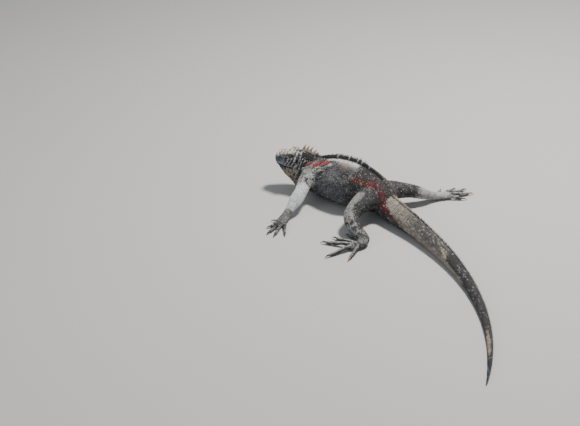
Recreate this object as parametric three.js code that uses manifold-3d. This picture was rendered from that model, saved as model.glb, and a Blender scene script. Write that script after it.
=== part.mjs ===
// A life-size marine iguana, lying at rest on the ground with its head turned to its left,
// one hind leg folded beside it, the other stretched back, and the tail swept round to the left.
// Millimetres, +X towards the head, +Y to the animal's left, +Z up. The origin is on the
// ground under the middle of the belly.
import * as THREE from "three";
import { mergeVertices } from "three/addons/utils/BufferGeometryUtils.js";
import Module from "manifold-3d";

const wasm = await Module();
wasm.setup();

// Driving dimensions
const TAIL_LENGTH = 625; // from the end of the pelvis to the tip
const TAIL_START_TURN = 15; // degrees that the tail first bears to the left of straight back
const TAIL_MORE_TURN = 52; // degrees that it turns further by its tip
const TAIL_TURN_POWER = 1.3; // how late along its length the turn comes
const BODY_SIDES = 28; // points round the head and trunk
const TAIL_SIDES = 16;
const LIMB_SIDES = 14;
const TOE_SIDES = 7;
const SEAM = 0.3; // gap between touching nodes
const EYE_RADIUS = 5.2;
const HEAD_LEAN = -9; // degrees that the head tips over, its crown to the right
const UP = new THREE.Vector3(0, 0, 1);

// Body stations from the snout to the end of the pelvis: centre of the section, its half width,
// its height above and depth below the centre, the roundness of its top and bottom (2 is an
// ellipse, less is peaked, more is boxy), and its lean to the right in degrees.
const BODY_STATIONS = [
  { at: [166.5, 36.2, 63], wide: 4, up: 4, down: 3, top: 2.2, base: 2.2, lean: HEAD_LEAN },
  { at: [165, 35.5, 64], wide: 10.5, up: 11, down: 9, top: 2.3, base: 2.3, lean: HEAD_LEAN },
  { at: [160, 33, 66], wide: 15.5, up: 17.5, down: 18, top: 2.4, base: 2.3, lean: HEAD_LEAN },
  { at: [151, 28.8, 68], wide: 19, up: 22.5, down: 35, top: 2.5, base: 2.2, lean: HEAD_LEAN },
  { at: [139, 23, 70], wide: 22.5, up: 23.5, down: 50, top: 2.7, base: 1.9, lean: HEAD_LEAN },
  { at: [127, 17.2, 71], wide: 25.5, up: 22, down: 63, top: 2.6, base: 1.7, lean: HEAD_LEAN },
  { at: [114, 12.2, 71], wide: 26, up: 22, down: 67, top: 2.2, base: 1.65, lean: HEAD_LEAN },
  { at: [100, 9.5, 68.5], wide: 27, up: 24.5, down: 66, top: 1.9, base: 1.7, lean: -7 },
  { at: [86, 8.5, 63], wide: 31, up: 28, down: 60, top: 1.8, base: 1.95, lean: -5 },
  { at: [68, 7, 57], wide: 38, up: 33, down: 54, top: 1.75, base: 2.2, lean: -5 },
  { at: [42, 4, 52], wide: 46, up: 41, down: 53, top: 1.7, base: 2.3, lean: -6 },
  { at: [10, -1, 50], wide: 53, up: 47, down: 53, top: 1.65, base: 2.4, lean: -7 },
  { at: [-24, -4, 49], wide: 54, up: 48, down: 52, top: 1.65, base: 2.4, lean: -7 },
  { at: [-54, -3.5, 48], wide: 46, up: 45, down: 50, top: 1.7, base: 2.3, lean: -6 },
  { at: [-82, -0.5, 47], wide: 37, up: 40, down: 46, top: 1.75, base: 2.2, lean: -5 },
  { at: [-106, 4, 43], wide: 31, up: 34, down: 41, top: 1.8, base: 2.1, lean: -4 },
];
const TAIL_ROOT = [-126, 9.5];

// Tail stations: share of the length, half width, height above and depth below the centre, lean.
const TAIL_STATIONS = [
  { share: 0, wide: 27, up: 29, down: 31, lean: -5 },
  { share: 0.08, wide: 22.5, up: 25, down: 26.5, lean: -8 },
  { share: 0.18, wide: 18, up: 21.5, down: 22.5, lean: -12 },
  { share: 0.3, wide: 14, up: 18, down: 18.5, lean: -18 },
  { share: 0.42, wide: 11, up: 14.5, down: 15, lean: -26 },
  { share: 0.55, wide: 8.5, up: 11.5, down: 12, lean: -34 },
  { share: 0.68, wide: 6.8, up: 8.8, down: 9.2, lean: -42 },
  { share: 0.8, wide: 5.4, up: 6.8, down: 7.2, lean: -46 },
  { share: 0.9, wide: 4, up: 4.8, down: 5, lean: -48 },
  { share: 0.97, wide: 2.4, up: 2.8, down: 2.8, lean: -48 },
  { share: 1, wide: 1.1, up: 1.2, down: 1.2, lean: -48 },
];

// Limb stations: centre, half width across the limb's flat side, half thickness.
const LIMBS = {
  arm_left: {
    parts: ["upper_arm_left", "forearm_left", "hand_left"],
    cuts: [2.35, 4.5],
    side: 1,
    stations: [
      { at: [72, 20, 52], wide: 20, thick: 19 },
      { at: [68, 44, 51], wide: 20, thick: 18 },
      { at: [61, 68, 47], wide: 16.5, thick: 15 },
      { at: [52, 90, 40], wide: 14.5, thick: 13.5 },
      { at: [48, 112, 31], wide: 14.5, thick: 13 },
      { at: [46, 134, 20], wide: 10, thick: 8.5 },
      { at: [44, 150, 12], wide: 10.5, thick: 6.5 },
      { at: [40, 167, 8.5], wide: 12, thick: 6 },
      { at: [38, 176, 7], wide: 9, thick: 4.6 },
    ],
    digits: [
      { root: [45, 158], tip: [68, 172], radius: 3.6 },
      { root: [43, 170], tip: [54, 202], radius: 3.8 },
      { root: [39, 173], tip: [36, 221], radius: 3.9 },
      { root: [35, 172], tip: [17, 220], radius: 3.9 },
      { root: [32, 166], tip: [0, 203], radius: 3.6 },
    ],
  },
  arm_right: {
    parts: ["upper_arm_right", "forearm_right", "hand_right"],
    cuts: [2.35, 4.5],
    side: -1,
    stations: [
      { at: [74, -12, 52], wide: 20, thick: 19 },
      { at: [68, -34, 51], wide: 20, thick: 18 },
      { at: [60, -58, 47], wide: 16.5, thick: 15 },
      { at: [54, -80, 41], wide: 14.5, thick: 13.5 },
      { at: [60, -96, 29], wide: 14, thick: 12.5 },
      { at: [70, -108, 17], wide: 10, thick: 8.5 },
      { at: [80, -117, 10], wide: 10.5, thick: 6.5 },
      { at: [93, -127, 7.5], wide: 12, thick: 6 },
      { at: [99, -132, 6.5], wide: 9, thick: 4.6 },
    ],
    digits: [
      { root: [90, -117], tip: [111, -108], radius: 3.6 },
      { root: [97, -125], tip: [132, -131], radius: 3.8 },
      { root: [98, -130], tip: [134, -155], radius: 3.9 },
      { root: [94, -133], tip: [116, -170], radius: 3.9 },
      { root: [87, -132], tip: [95, -170], radius: 3.6 },
    ],
  },
  leg_left: {
    parts: ["thigh_left", "shank_left", "foot_left"],
    cuts: [3.25, 5.6],
    side: 1,
    stations: [
      { at: [-88, 12, 46], wide: 25, thick: 23 },
      { at: [-88, 36, 46], wide: 26, thick: 22 },
      { at: [-88, 66, 43], wide: 22, thick: 19 },
      { at: [-91, 94, 35], wide: 17, thick: 16 },
      { at: [-106, 111, 26], wide: 15, thick: 14 },
      { at: [-128, 118, 18], wide: 13, thick: 11 },
      { at: [-147, 124, 12], wide: 11.5, thick: 8.5 },
      { at: [-152, 138, 9], wide: 12, thick: 7 },
      { at: [-143, 153, 7.5], wide: 13, thick: 6 },
      { at: [-138, 160, 6.5], wide: 10, thick: 4.8 },
    ],
    digits: [
      { root: [-140, 130], tip: [-94, 120], radius: 3.8 },
      { root: [-138, 145], tip: [-80, 147], radius: 4.1 },
      { root: [-137, 154], tip: [-74, 178], radius: 4.3 },
      { root: [-141, 160], tip: [-120, 220], radius: 4.4 },
      { root: [-153, 152], tip: [-166, 203], radius: 4.1 },
    ],
  },
  leg_right: {
    parts: ["thigh_right", "shank_right", "foot_right"],
    cuts: [3.15, 5.5],
    side: -1,
    stations: [
      { at: [-86, -10, 44], wide: 24, thick: 22 },
      { at: [-95, -32, 42], wide: 24, thick: 21 },
      { at: [-112, -54, 38], wide: 20, thick: 18 },
      { at: [-129, -74, 32], wide: 16, thick: 15 },
      { at: [-143, -92, 23], wide: 14, thick: 12.5 },
      { at: [-152, -110, 14], wide: 11, thick: 9.5 },
      { at: [-160, -125, 9.5], wide: 11, thick: 7.5 },
      { at: [-170, -141, 7.5], wide: 12.5, thick: 6 },
      { at: [-174, -147, 6.5], wide: 9.5, thick: 4.8 },
    ],
    digits: [
      { root: [-154, -134], tip: [-140, -168], radius: 3.8 },
      { root: [-164, -144], tip: [-165, -189], radius: 4.1 },
      { root: [-170, -146], tip: [-187, -200], radius: 4.3 },
      { root: [-175, -145], tip: [-211, -192], radius: 4.4 },
      { root: [-175, -137], tip: [-214, -160], radius: 4.1 },
    ],
  },
};

// Crest: tip height above the back, and spacing, at stations along the body's own parameter.
const CREST = [
  { at: 6, height: 17 },
  { at: 6.4, height: 20 },
  { at: 7.2, height: 18 },
  { at: 8, height: 12 },
  { at: 8.5, height: 6.5 },
  { at: 9.6, height: 9 },
  { at: 10.5, height: 11 },
  { at: 12.5, height: 11 },
  { at: 14, height: 8.5 },
  { at: 15, height: 6.5 },
  { at: 16.5, height: 6.5 },
  { at: 18.5, height: 6.5 },
  { at: 20.5, height: 5.5 },
  { at: 22.5, height: 4.2 },
  { at: 24, height: 3 },
  { at: 25.5, height: 2 },
];
const CREST_FROM = 6.05;
const CREST_TO = 25.3;

// Where the body is parted, along the same parameter.
const BODY_PARTS = [
  { name: "head", from: 0, to: 6, colour: 0x4a4845 },
  { name: "neck", from: 6, to: 8.5, colour: 0x3f3d3c, spacing: 4.8 },
  { name: "torso", from: 8.5, to: 13.5, colour: 0x3c3b3b, spacing: 5.2 },
  { name: "pelvis", from: 13.5, to: 16, colour: 0x443c3b, spacing: 5.6 },
  { name: "tail_base", from: 16, to: 18.6, colour: 0x6d6862, spacing: 7.5 },
  { name: "tail_middle", from: 18.6, to: 20.6, colour: 0x45454a, spacing: 8 },
  { name: "tail_rear", from: 20.6, to: 22.8, colour: 0x38383c, spacing: 8 },
  { name: "tail_tip", from: 22.8, to: 26, colour: 0x2c2d33, spacing: 8.5 },
];

const radians = (degrees) => (degrees * Math.PI) / 180;
const vector = (p) => new THREE.Vector3(...p);

// A seeded draw, the same on every run.
function seeded(seed) {
  let state = seed;
  return () => {
    state = (state * 1664525 + 1013904223) % 4294967296;
    return state / 4294967296;
  };
}

// The tail's stations in the part's frame. It is integrated along its own turning heading.
function tailStations() {
  const steps = 300;
  const line = [[...TAIL_ROOT]];
  for (let i = 0; i < steps; i++) {
    const share = (i + 0.5) / steps;
    const turn = radians(TAIL_START_TURN + TAIL_MORE_TURN * share ** TAIL_TURN_POWER);
    const [x, y] = line[i];
    const step = TAIL_LENGTH / steps;
    line.push([x - Math.cos(turn) * step, y + Math.sin(turn) * step]);
  }
  return TAIL_STATIONS.map((t) => {
    const [x, y] = line[Math.round(t.share * steps)];
    const lean = radians(t.lean);
    const reach = Math.hypot(t.down * Math.cos(lean), t.wide * Math.sin(lean));
    const sunk = Math.min(1.2, 0.12 * t.down);
    return { at: [x, y, reach - sunk], wide: t.wide, up: t.up, down: t.down, top: 1.7, base: 2, lean: t.lean };
  });
}

const BODY = [...BODY_STATIONS, ...tailStations()];

// Catmull-Rom value between stations, for a number or a list of numbers.
function between(a, b, c, d, t) {
  if (Array.isArray(a)) return a.map((_, i) => between(a[i], b[i], c[i], d[i], t));
  return (
    0.5 * (2 * b + (c - a) * t + (2 * a - 5 * b + 4 * c - d) * t * t + (3 * b - a - 3 * c + d) * t * t * t)
  );
}

function sample(stations, t) {
  const last = stations.length - 1;
  const i = Math.min(Math.max(Math.floor(t), 0), last - 1);
  const pick = (k) => stations[Math.min(Math.max(k, 0), last)];
  const [a, b, c, d] = [pick(i - 1), pick(i), pick(i + 1), pick(i + 2)];
  const made = {};
  for (const key of Object.keys(b)) made[key] = between(a[key], b[key], c[key], d[key], t - i);
  return made;
}

// Axes of the section at t: along the path, to its left, and up, turned by the lean.
function axesAt(stations, t, up = UP) {
  const last = stations.length - 1;
  const ahead = vector(sample(stations, Math.min(t + 0.02, last)).at);
  const behind = vector(sample(stations, Math.max(t - 0.02, 0)).at);
  const along = ahead.sub(behind).normalize();
  const left = new THREE.Vector3().crossVectors(along, up).normalize();
  const top = new THREE.Vector3().crossVectors(left, along).normalize();
  const lean = radians(sample(stations, t).lean ?? 0);
  left.applyAxisAngle(along, lean);
  top.applyAxisAngle(along, lean);
  return { along, left, top };
}

const power = (v, n) => Math.sign(v) * Math.abs(v) ** (2 / n);

// One ring of the body at t, grown outwards by extra.
function bodyRing(t, sides, extra = 0) {
  const s = sample(BODY, t);
  const { left, top } = axesAt(BODY, t);
  const centre = vector(s.at);
  return Array.from({ length: sides }, (_, i) => {
    const angle = (2 * Math.PI * (i + 0.5)) / sides - Math.PI / 2;
    const upper = Math.sin(angle) > 0;
    const n = upper ? s.top : s.base;
    const across = power(Math.cos(angle), n) * (s.wide + extra);
    const rise = power(Math.sin(angle), n) * ((upper ? s.up : s.down) + extra);
    return centre.clone().addScaledVector(left, across).addScaledVector(top, rise);
  });
}

// A ring of a limb at t: an ellipse, wide along the ground and thick across.
function limbRing(stations, t, sides) {
  const s = sample(stations, t);
  const { left, top } = axesAt(stations, t);
  const centre = vector(s.at);
  return Array.from({ length: sides }, (_, i) => {
    const angle = (2 * Math.PI * (i + 0.5)) / sides;
    return centre
      .clone()
      .addScaledVector(left, Math.cos(angle) * s.wide)
      .addScaledVector(top, Math.sin(angle) * s.thick);
  });
}

// A closed manifold solid from a three.js geometry.
function solidOf(geometry) {
  const bare = geometry.clone();
  bare.deleteAttribute("normal");
  bare.deleteAttribute("uv");
  const merged = mergeVertices(bare, 1e-4);
  const made = new wasm.Manifold(
    new wasm.Mesh({
      numProp: 3,
      vertProperties: new Float32Array(merged.attributes.position.array),
      triVerts: new Uint32Array(merged.index.array),
    }),
  );
  return made;
}

// A solid skinned over rings of equal count, with a fan on each end.
function loft(rings) {
  const sides = rings[0].length;
  const points = rings.flat();
  const middle = (ring) => ring.reduce((sum, p) => sum.add(p), new THREE.Vector3()).divideScalar(sides);
  const first = points.length;
  points.push(middle(rings[0]), middle(rings.at(-1)));
  const faces = [];
  for (let r = 0; r + 1 < rings.length; r++) {
    for (let i = 0; i < sides; i++) {
      const j = (i + 1) % sides;
      const [a, b] = [r * sides + i, r * sides + j];
      const [c, d] = [a + sides, b + sides];
      faces.push(a, b, d, a, d, c);
    }
  }
  const lastRing = (rings.length - 1) * sides;
  for (let i = 0; i < sides; i++) {
    const j = (i + 1) % sides;
    faces.push(first, j, i);
    faces.push(first + 1, lastRing + i, lastRing + j);
  }
  const build = (order) => {
    const geometry = new THREE.BufferGeometry().setFromPoints(points);
    geometry.setIndex(order);
    return solidOf(geometry);
  };
  const made = build(faces);
  if (made.volume() > 0) return made;
  return build(faces.map((_, k) => faces[k - (k % 3) + [0, 2, 1][k % 3]]));
}

// Evenly spread parameters from a to b, both included.
const spread = (a, b, count) => Array.from({ length: count + 1 }, (_, i) => a + ((b - a) * i) / count);

function bodyLength(from, to) {
  let length = 0;
  const steps = spread(from, to, 60);
  for (let i = 1; i < steps.length; i++) {
    length += vector(sample(BODY, steps[i]).at).distanceTo(vector(sample(BODY, steps[i - 1]).at));
  }
  return length;
}

// What lies on one side of a parting, clear of it by half a seam: side 1 keeps what is nearer
// the start of the stations, and -1 what is nearer their end.
function besideParting(solid, stations, t, side) {
  const normal = axesAt(stations, t).along.multiplyScalar(-side);
  const at = vector(sample(stations, t).at);
  return solid.trimByPlane(normal.toArray(), at.dot(normal) + SEAM / 2);
}

// Trimmed at both ends of a stretch, apart from the ends of the whole run of stations.
function partedAt(solid, stations, from, to) {
  let made = solid;
  if (from > 0) made = besideParting(made, stations, from, -1);
  if (to < stations.length - 1) made = besideParting(made, stations, to, 1);
  return made;
}

// Parameters of the rings of a stretch that reaches a little past its partings.
function ringsOf(stations, from, to, density) {
  const last = stations.length - 1;
  const [a, b] = [Math.max(from - 0.12, 0), Math.min(to + 0.12, last)];
  return spread(a, b, Math.ceil((to - from) * density));
}

// The body's surface between two parameters, grown outwards by extra.
function bodyStretch(from, to, extra = 0) {
  const sides = from >= 16 ? TAIL_SIDES : BODY_SIDES;
  return loft(ringsOf(BODY, from, to, 2).map((t) => bodyRing(t, sides, extra)));
}

const aboveGround = (solid) => solid.trimByPlane([0, 0, 1], 0);

function largest(solid) {
  const bodies = solid.decompose();
  return bodies.reduce((best, body) => (body.volume() > best.volume() ? body : best));
}

const union = (solids) => solids.reduce((sum, solid) => sum.add(solid));

// A tapering, backswept spine on the back, its root sunk into the flesh. Tall ones bend.
function crestSpine(t, height, thick, long, sweep) {
  const s = sample(BODY, t);
  const { along, left, top } = axesAt(BODY, t);
  const base = vector(s.at).addScaledVector(top, s.up);
  const stages = [
    { rise: -2.5 - 0.07 * s.up, size: 1.05, back: -0.2 * sweep },
    { rise: height * 0.45, size: 0.72, back: 0.25 * sweep },
    { rise: height, size: 0.16, back: sweep },
  ];
  if (height < 12) stages.splice(1, 1);
  const corners = 4;
  return loft(
    stages.map((stage) =>
      Array.from({ length: corners }, (_, i) => {
        const angle = (2 * Math.PI * i) / corners;
        return base
          .clone()
          .addScaledVector(top, stage.rise)
          .addScaledVector(along, stage.back + Math.cos(angle) * long * 0.5 * stage.size)
          .addScaledVector(left, Math.sin(angle) * thick * 0.5 * stage.size);
      }),
    ),
  );
}

function crestHeight(t) {
  const next = CREST.findIndex((c) => c.at > t);
  const [a, b] = [CREST[next - 1], CREST[next]];
  return a.height + ((b.height - a.height) * (t - a.at)) / (b.at - a.at);
}

// The row of crest spines on one stretch of the back, evenly spaced clear of its ends.
function crestOn(part, draw) {
  const from = Math.max(part.from, CREST_FROM);
  const to = Math.min(part.to, CREST_TO);
  const count = Math.round(bodyLength(from, to) / part.spacing);
  return Array.from({ length: count }, (_, i) => {
    const t = from + ((to - from) * (i + 0.5)) / count;
    const height = crestHeight(t) * (0.88 + 0.24 * draw());
    const long = Math.min(part.spacing * 0.92, 3.2 + height * 0.2);
    return crestSpine(t, height, 2.2 + height * 0.1, long, height * 0.22);
  });
}

// A point given in the head's own axes: forward from the back of the skull, left, up.
const HEAD_BACK = vector([114, 11.4, 72.5]);
const HEAD_AXES = (() => {
  const along = vector([53, 25.5, -7]).normalize();
  const left = new THREE.Vector3().crossVectors(UP, along).normalize();
  left.applyAxisAngle(along, -radians(HEAD_LEAN));
  const top = new THREE.Vector3().crossVectors(along, left).normalize();
  return { along, left, top };
})();

function headPoint(forward, left, up) {
  return HEAD_BACK.clone()
    .addScaledVector(HEAD_AXES.along, forward)
    .addScaledVector(HEAD_AXES.left, left)
    .addScaledVector(HEAD_AXES.top, up);
}

// A ball stretched along the head's axes.
function headBall(centre, radii, detail = 12) {
  const ball = new THREE.SphereGeometry(1, detail, Math.round(detail * 0.66));
  const { along, left, top } = HEAD_AXES;
  const frame = new THREE.Matrix4().makeBasis(
    along.clone().multiplyScalar(radii[0]),
    left.clone().multiplyScalar(radii[1]),
    top.clone().multiplyScalar(radii[2]),
  );
  frame.setPosition(headPoint(...centre));
  return solidOf(ball.applyMatrix4(frame));
}

// A band across the head that follows the line of the mouth, of a given thickness.
const MOUTH_LINE = [
  [70, -2.5],
  [55, -3],
  [46, -6],
  [36, -9.5],
  [27, -12.5],
  [16, -13],
];
function mouthBand(thickness, reach) {
  const low = MOUTH_LINE.map(([x, z]) => [x, z - thickness / 2]);
  const high = MOUTH_LINE.map(([x, z]) => [x, z + thickness / 2]).reverse();
  const rings = [-reach, reach].map((side) =>
    [...low, ...high].map(([x, z]) => headPoint(x, side, z)),
  );
  return loft(rings);
}

const EYE_AT = [17, 21.2, 14.5];
const NOSTRIL_AT = [43.5, 15.2, 8.5];

// A low six-sided scale on the head, pointing out from a point inside the skull.
function tubercle(forward, side, heightOut, radius, reach) {
  const sunk = 3;
  const core = headPoint(forward - 2, side * 0.35, -2);
  const surface = headPoint(forward, side, heightOut);
  const out = surface.clone().sub(core).normalize();
  const scale = new THREE.CylinderGeometry(radius * 0.35, radius, reach + sunk, 6);
  scale.translate(0, (reach - sunk) / 2, 0);
  scale.applyQuaternion(new THREE.Quaternion().setFromUnitVectors(new THREE.Vector3(0, 1, 0), out));
  scale.translate(surface.x, surface.y, surface.z);
  return solidOf(scale);
}

// The height of the crown above the head's axis at a place on it, for standing scales on it.
function crownHeight(forward, side) {
  const t = Math.max(6 - forward / 13.8, 1.6);
  const s = sample(BODY, t);
  const across = Math.min(Math.abs(side) / s.wide, 0.98);
  return s.up * (1 - across ** s.top) ** (1 / s.top) - 1.2;
}

function crownScales(draw) {
  const made = [];
  for (let row = 0; row < 8; row++) {
    const forward = 5 + row * 6.4;
    const room = 16 - Math.abs(row - 3) * 1.3;
    const count = row % 2 ? 4 : 3;
    for (let i = 0; i < count; i++) {
      const side = (i / (count - 1) - 0.5) * room * 1.8;
      const size = 3.2 + 0.9 * draw();
      const tall = (row > 3 ? 3.2 : 2.4) * (0.8 + 0.4 * draw());
      made.push(tubercle(forward, side, crownHeight(forward, side), size, tall));
    }
  }
  return made;
}

// The head: skull and jaws, with lids, brows, nostrils, lips, the line of the mouth and ears.
function makeHead() {
  const draw = seeded(11);
  let head = bodyStretch(0, 6);
  const inner = bodyStretch(0.9, 6, -2.4);
  const outer = bodyStretch(0, 6, 0.9);
  head = head.add(mouthBand(6.5, 40).intersect(outer));
  for (const side of [1, -1]) {
    const [ex, ey, ez] = EYE_AT;
    const [nx, ny, nz] = NOSTRIL_AT;
    head = head.add(headBall([ex, side * (ey - 0.4), ez], [8.2, 6.4, 6.6], 14));
    head = head.add(headBall([ex + 1.5, side * (ey - 2.2), ez + 5.4], [10.5, 4.2, 3], 12));
    head = head.add(headBall([nx, side * (ny - 1), nz], [4.6, 3.6, 4], 10));
    head = head.add(headBall([9, side * 19.5, -11], [15, 7.5, 15], 14));
  }
  head = head.add(union(crownScales(draw)));
  head = partedAt(head, BODY, 0, 6);
  head = head.subtract(mouthBand(1.3, 40).subtract(inner));
  for (const side of [1, -1]) {
    const [ex, ey, ez] = EYE_AT;
    const [nx, ny, nz] = NOSTRIL_AT;
    const socket = EYE_RADIUS + SEAM;
    head = head.subtract(headBall([ex, side * ey, ez], [socket, socket, socket], 16));
    head = head.subtract(headBall([ex, side * (ey + 6), ez], [5.6, 5, 3.1], 12));
    head = head.subtract(headBall([nx + 0.6, side * (ny + 2.2), nz + 0.3], [2, 2.6, 1.6], 8));
    head = head.subtract(headBall([3, side * 28.2, 1], [3.6, 3.2, 4.6], 10));
  }
  return largest(head);
}

// A tube that tapers along a route of points, its last stage a claw.
function digit(root, tip, radius, rootHeight) {
  const start = new THREE.Vector3(root[0], root[1], rootHeight);
  const reach = Math.hypot(tip[0] - root[0], tip[1] - root[1]);
  const claw = 3.1 * radius;
  const on = (share, height) =>
    new THREE.Vector3(
      root[0] + (tip[0] - root[0]) * share,
      root[1] + (tip[1] - root[1]) * share,
      height,
    );
  const pad = 1 - claw / reach;
  const stages = [
    { at: start, radius: radius * 1.15 },
    { at: on(pad * 0.3, radius * 1.75), radius: radius * 1.02 },
    { at: on(pad * 0.62, radius * 1.2), radius: radius * 0.95 },
    { at: on(pad * 0.88, radius * 0.82), radius: radius * 0.95 },
    { at: on(pad, radius * 0.85), radius: radius * 0.72 },
    { at: on(pad + 0.02, radius * 1.0), radius: radius * 0.5 },
    { at: on(pad + (1 - pad) * 0.5, radius * 1.05), radius: radius * 0.36 },
    { at: on(1, radius * 0.22), radius: radius * 0.12 },
  ];
  const rings = stages.map((stage, k) => {
    const before = stages[Math.max(k - 1, 0)].at;
    const after = stages[Math.min(k + 1, stages.length - 1)].at;
    const along = after.clone().sub(before).normalize();
    const left = new THREE.Vector3().crossVectors(along, UP).normalize();
    const top = new THREE.Vector3().crossVectors(left, along);
    return Array.from({ length: TOE_SIDES }, (_, i) => {
      const angle = (2 * Math.PI * (i + 0.25)) / TOE_SIDES;
      return stage.at
        .clone()
        .addScaledVector(left, Math.cos(angle) * stage.radius)
        .addScaledVector(top, Math.sin(angle) * stage.radius);
    });
  });
  return loft(rings);
}

function limbStretch(stations, from, to) {
  const rings = ringsOf(stations, from, to, 2.2).map((t) => limbRing(stations, t, LIMB_SIDES));
  return partedAt(loft(rings), stations, from, to);
}

// The upper part, lower part and foot of one limb, the root cut clear of the trunk.
function makeLimb(limb, trunk) {
  const { stations, cuts, digits } = limb;
  const last = stations.length - 1;
  const upper = largest(aboveGround(limbStretch(stations, 0, cuts[0]).subtract(trunk)));
  const lower = aboveGround(limbStretch(stations, cuts[0], cuts[1]));
  const palm = limbStretch(stations, cuts[1], last);
  const toes = digits.map((d) => digit(d.root, d.tip, d.radius, d.radius * 1.7));
  const foot = largest(aboveGround(palm.add(union(toes)).subtract(lower)));
  return [upper, lower, foot];
}

function nodeOf(name, solid, colour) {
  const m = solid.getMesh();
  const geometry = new THREE.BufferGeometry();
  geometry.setAttribute("position", new THREE.BufferAttribute(new Float32Array(m.vertProperties), 3));
  geometry.setIndex(new THREE.BufferAttribute(new Uint32Array(m.triVerts), 1));
  geometry.computeVertexNormals();
  const material = new THREE.MeshStandardMaterial({ color: colour, roughness: 0.75, metalness: 0 });
  const mesh = new THREE.Mesh(geometry, material);
  mesh.name = name;
  return mesh;
}

const iguana = new THREE.Group();

// Head, neck, trunk and tail
const crestDraw = seeded(3);
for (const part of BODY_PARTS) {
  if (part.name === "head") {
    iguana.add(nodeOf("head", makeHead(), part.colour));
    continue;
  }
  const whole = bodyStretch(part.from, part.to).add(union(crestOn(part, crestDraw)));
  const parted = partedAt(whole, BODY, part.from, part.to);
  iguana.add(nodeOf(part.name, largest(aboveGround(parted)), part.colour));
}

// Eyes
for (const [name, side] of [
  ["eye_left", 1],
  ["eye_right", -1],
]) {
  const [ex, ey, ez] = EYE_AT;
  const ball = headBall([ex, side * ey, ez], [EYE_RADIUS, EYE_RADIUS, EYE_RADIUS], 16);
  iguana.add(nodeOf(name, ball, 0x2a1c12));
}

// Legs
const trunk = bodyStretch(5, 19, SEAM * 1.5);
const LIMB_COLOURS = [0x4a4947, 0x8d8b86, 0x3a3a3c];
for (const limb of Object.values(LIMBS)) {
  makeLimb(limb, trunk).forEach((solid, i) => {
    iguana.add(nodeOf(limb.parts[i], solid, LIMB_COLOURS[i]));
  });
}

export default iguana;
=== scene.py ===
"""Looks for a life-size marine iguana: one skin over the body, its scales, crest, lid edges, eyes
and claws. Lengths are in millimetres until a mesh is made, which is in metres."""

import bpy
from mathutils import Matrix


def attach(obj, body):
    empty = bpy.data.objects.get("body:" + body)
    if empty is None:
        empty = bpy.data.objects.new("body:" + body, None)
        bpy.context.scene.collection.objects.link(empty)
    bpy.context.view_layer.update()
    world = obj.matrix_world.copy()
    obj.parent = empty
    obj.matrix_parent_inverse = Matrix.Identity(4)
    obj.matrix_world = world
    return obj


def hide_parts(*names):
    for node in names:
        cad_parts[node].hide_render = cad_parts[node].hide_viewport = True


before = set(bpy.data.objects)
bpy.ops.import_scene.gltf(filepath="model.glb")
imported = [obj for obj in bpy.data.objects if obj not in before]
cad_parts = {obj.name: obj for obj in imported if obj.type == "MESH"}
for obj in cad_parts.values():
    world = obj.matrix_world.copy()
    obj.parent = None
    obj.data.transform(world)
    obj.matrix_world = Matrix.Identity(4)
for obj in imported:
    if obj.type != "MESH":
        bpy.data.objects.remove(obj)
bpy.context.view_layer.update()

import math

import bpy
import numpy as np
from mathutils import Vector, kdtree
from mathutils.bvhtree import BVHTree

# Driving values, the same as the part's source
TAIL_LENGTH = 625
TAIL_START_TURN = 15
TAIL_MORE_TURN = 52
TAIL_TURN_POWER = 1.3
TAIL_ROOT = (-126, 9.5)
HEAD_LEAN = -9
EYE_RADIUS = 5.2
EYE_AT = (17, 21.2, 14.5)
NOSTRIL_AT = (43.5, 15.2, 8.5)
EAR_AT = (3, 26, 1)
# Values of the looks alone
SKIN_DEPTH = 0.8  # how far the skin lies inside the solids, to leave room for the scales
TOE_SKIN_DEPTH = 0.55
VOXEL = 1.1
LEAST = 0.55  # the smallest share of its own size that a form shrinks to
NOSTRIL_HOLE = (NOSTRIL_AT[0] + 0.6, NOSTRIL_AT[1], NOSTRIL_AT[2] + 0.3)
# Half width and half height of what is pressed into the head
EYE_OPENING, NOSTRIL_OPENING, EAR_OPENING = (5.2, 3.7), (1.9, 1.5), (3.6, 4.8)
PALE_SPECKS = 0.06  # the share of the scales that are paler than their place
# Where the lengths of the body begin, along its own parameter
NECK_START, TRUNK_START, TRUNK_MIDDLE, TAIL_START, TAIL_END = 6.1, 9.0, 12.0, 15.9, 26
UP = np.array([0.0, 0.0, 1.0])

# x, y, z, half width, height above, depth below, top roundness, base roundness, lean
BODY_STATIONS = [
    (166.5, 36.2, 63, 4, 4, 3, 2.2, 2.2, HEAD_LEAN),
    (165, 35.5, 64, 10.5, 11, 9, 2.3, 2.3, HEAD_LEAN),
    (160, 33, 66, 15.5, 17.5, 18, 2.4, 2.3, HEAD_LEAN),
    (151, 28.8, 68, 19, 22.5, 35, 2.5, 2.2, HEAD_LEAN),
    (139, 23, 70, 22.5, 23.5, 50, 2.7, 1.9, HEAD_LEAN),
    (127, 17.2, 71, 25.5, 22, 63, 2.6, 1.7, HEAD_LEAN),
    (114, 12.2, 71, 26, 22, 67, 2.2, 1.65, HEAD_LEAN),
    (100, 9.5, 68.5, 27, 24.5, 66, 1.9, 1.7, -7),
    (86, 8.5, 63, 31, 28, 60, 1.8, 1.95, -5),
    (68, 7, 57, 38, 33, 54, 1.75, 2.2, -5),
    (42, 4, 52, 46, 41, 53, 1.7, 2.3, -6),
    (10, -1, 50, 53, 47, 53, 1.65, 2.4, -7),
    (-24, -4, 49, 54, 48, 52, 1.65, 2.4, -7),
    (-54, -3.5, 48, 46, 45, 50, 1.7, 2.3, -6),
    (-82, -0.5, 47, 37, 40, 46, 1.75, 2.2, -5),
    (-106, 4, 43, 31, 34, 41, 1.8, 2.1, -4),
]
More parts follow.
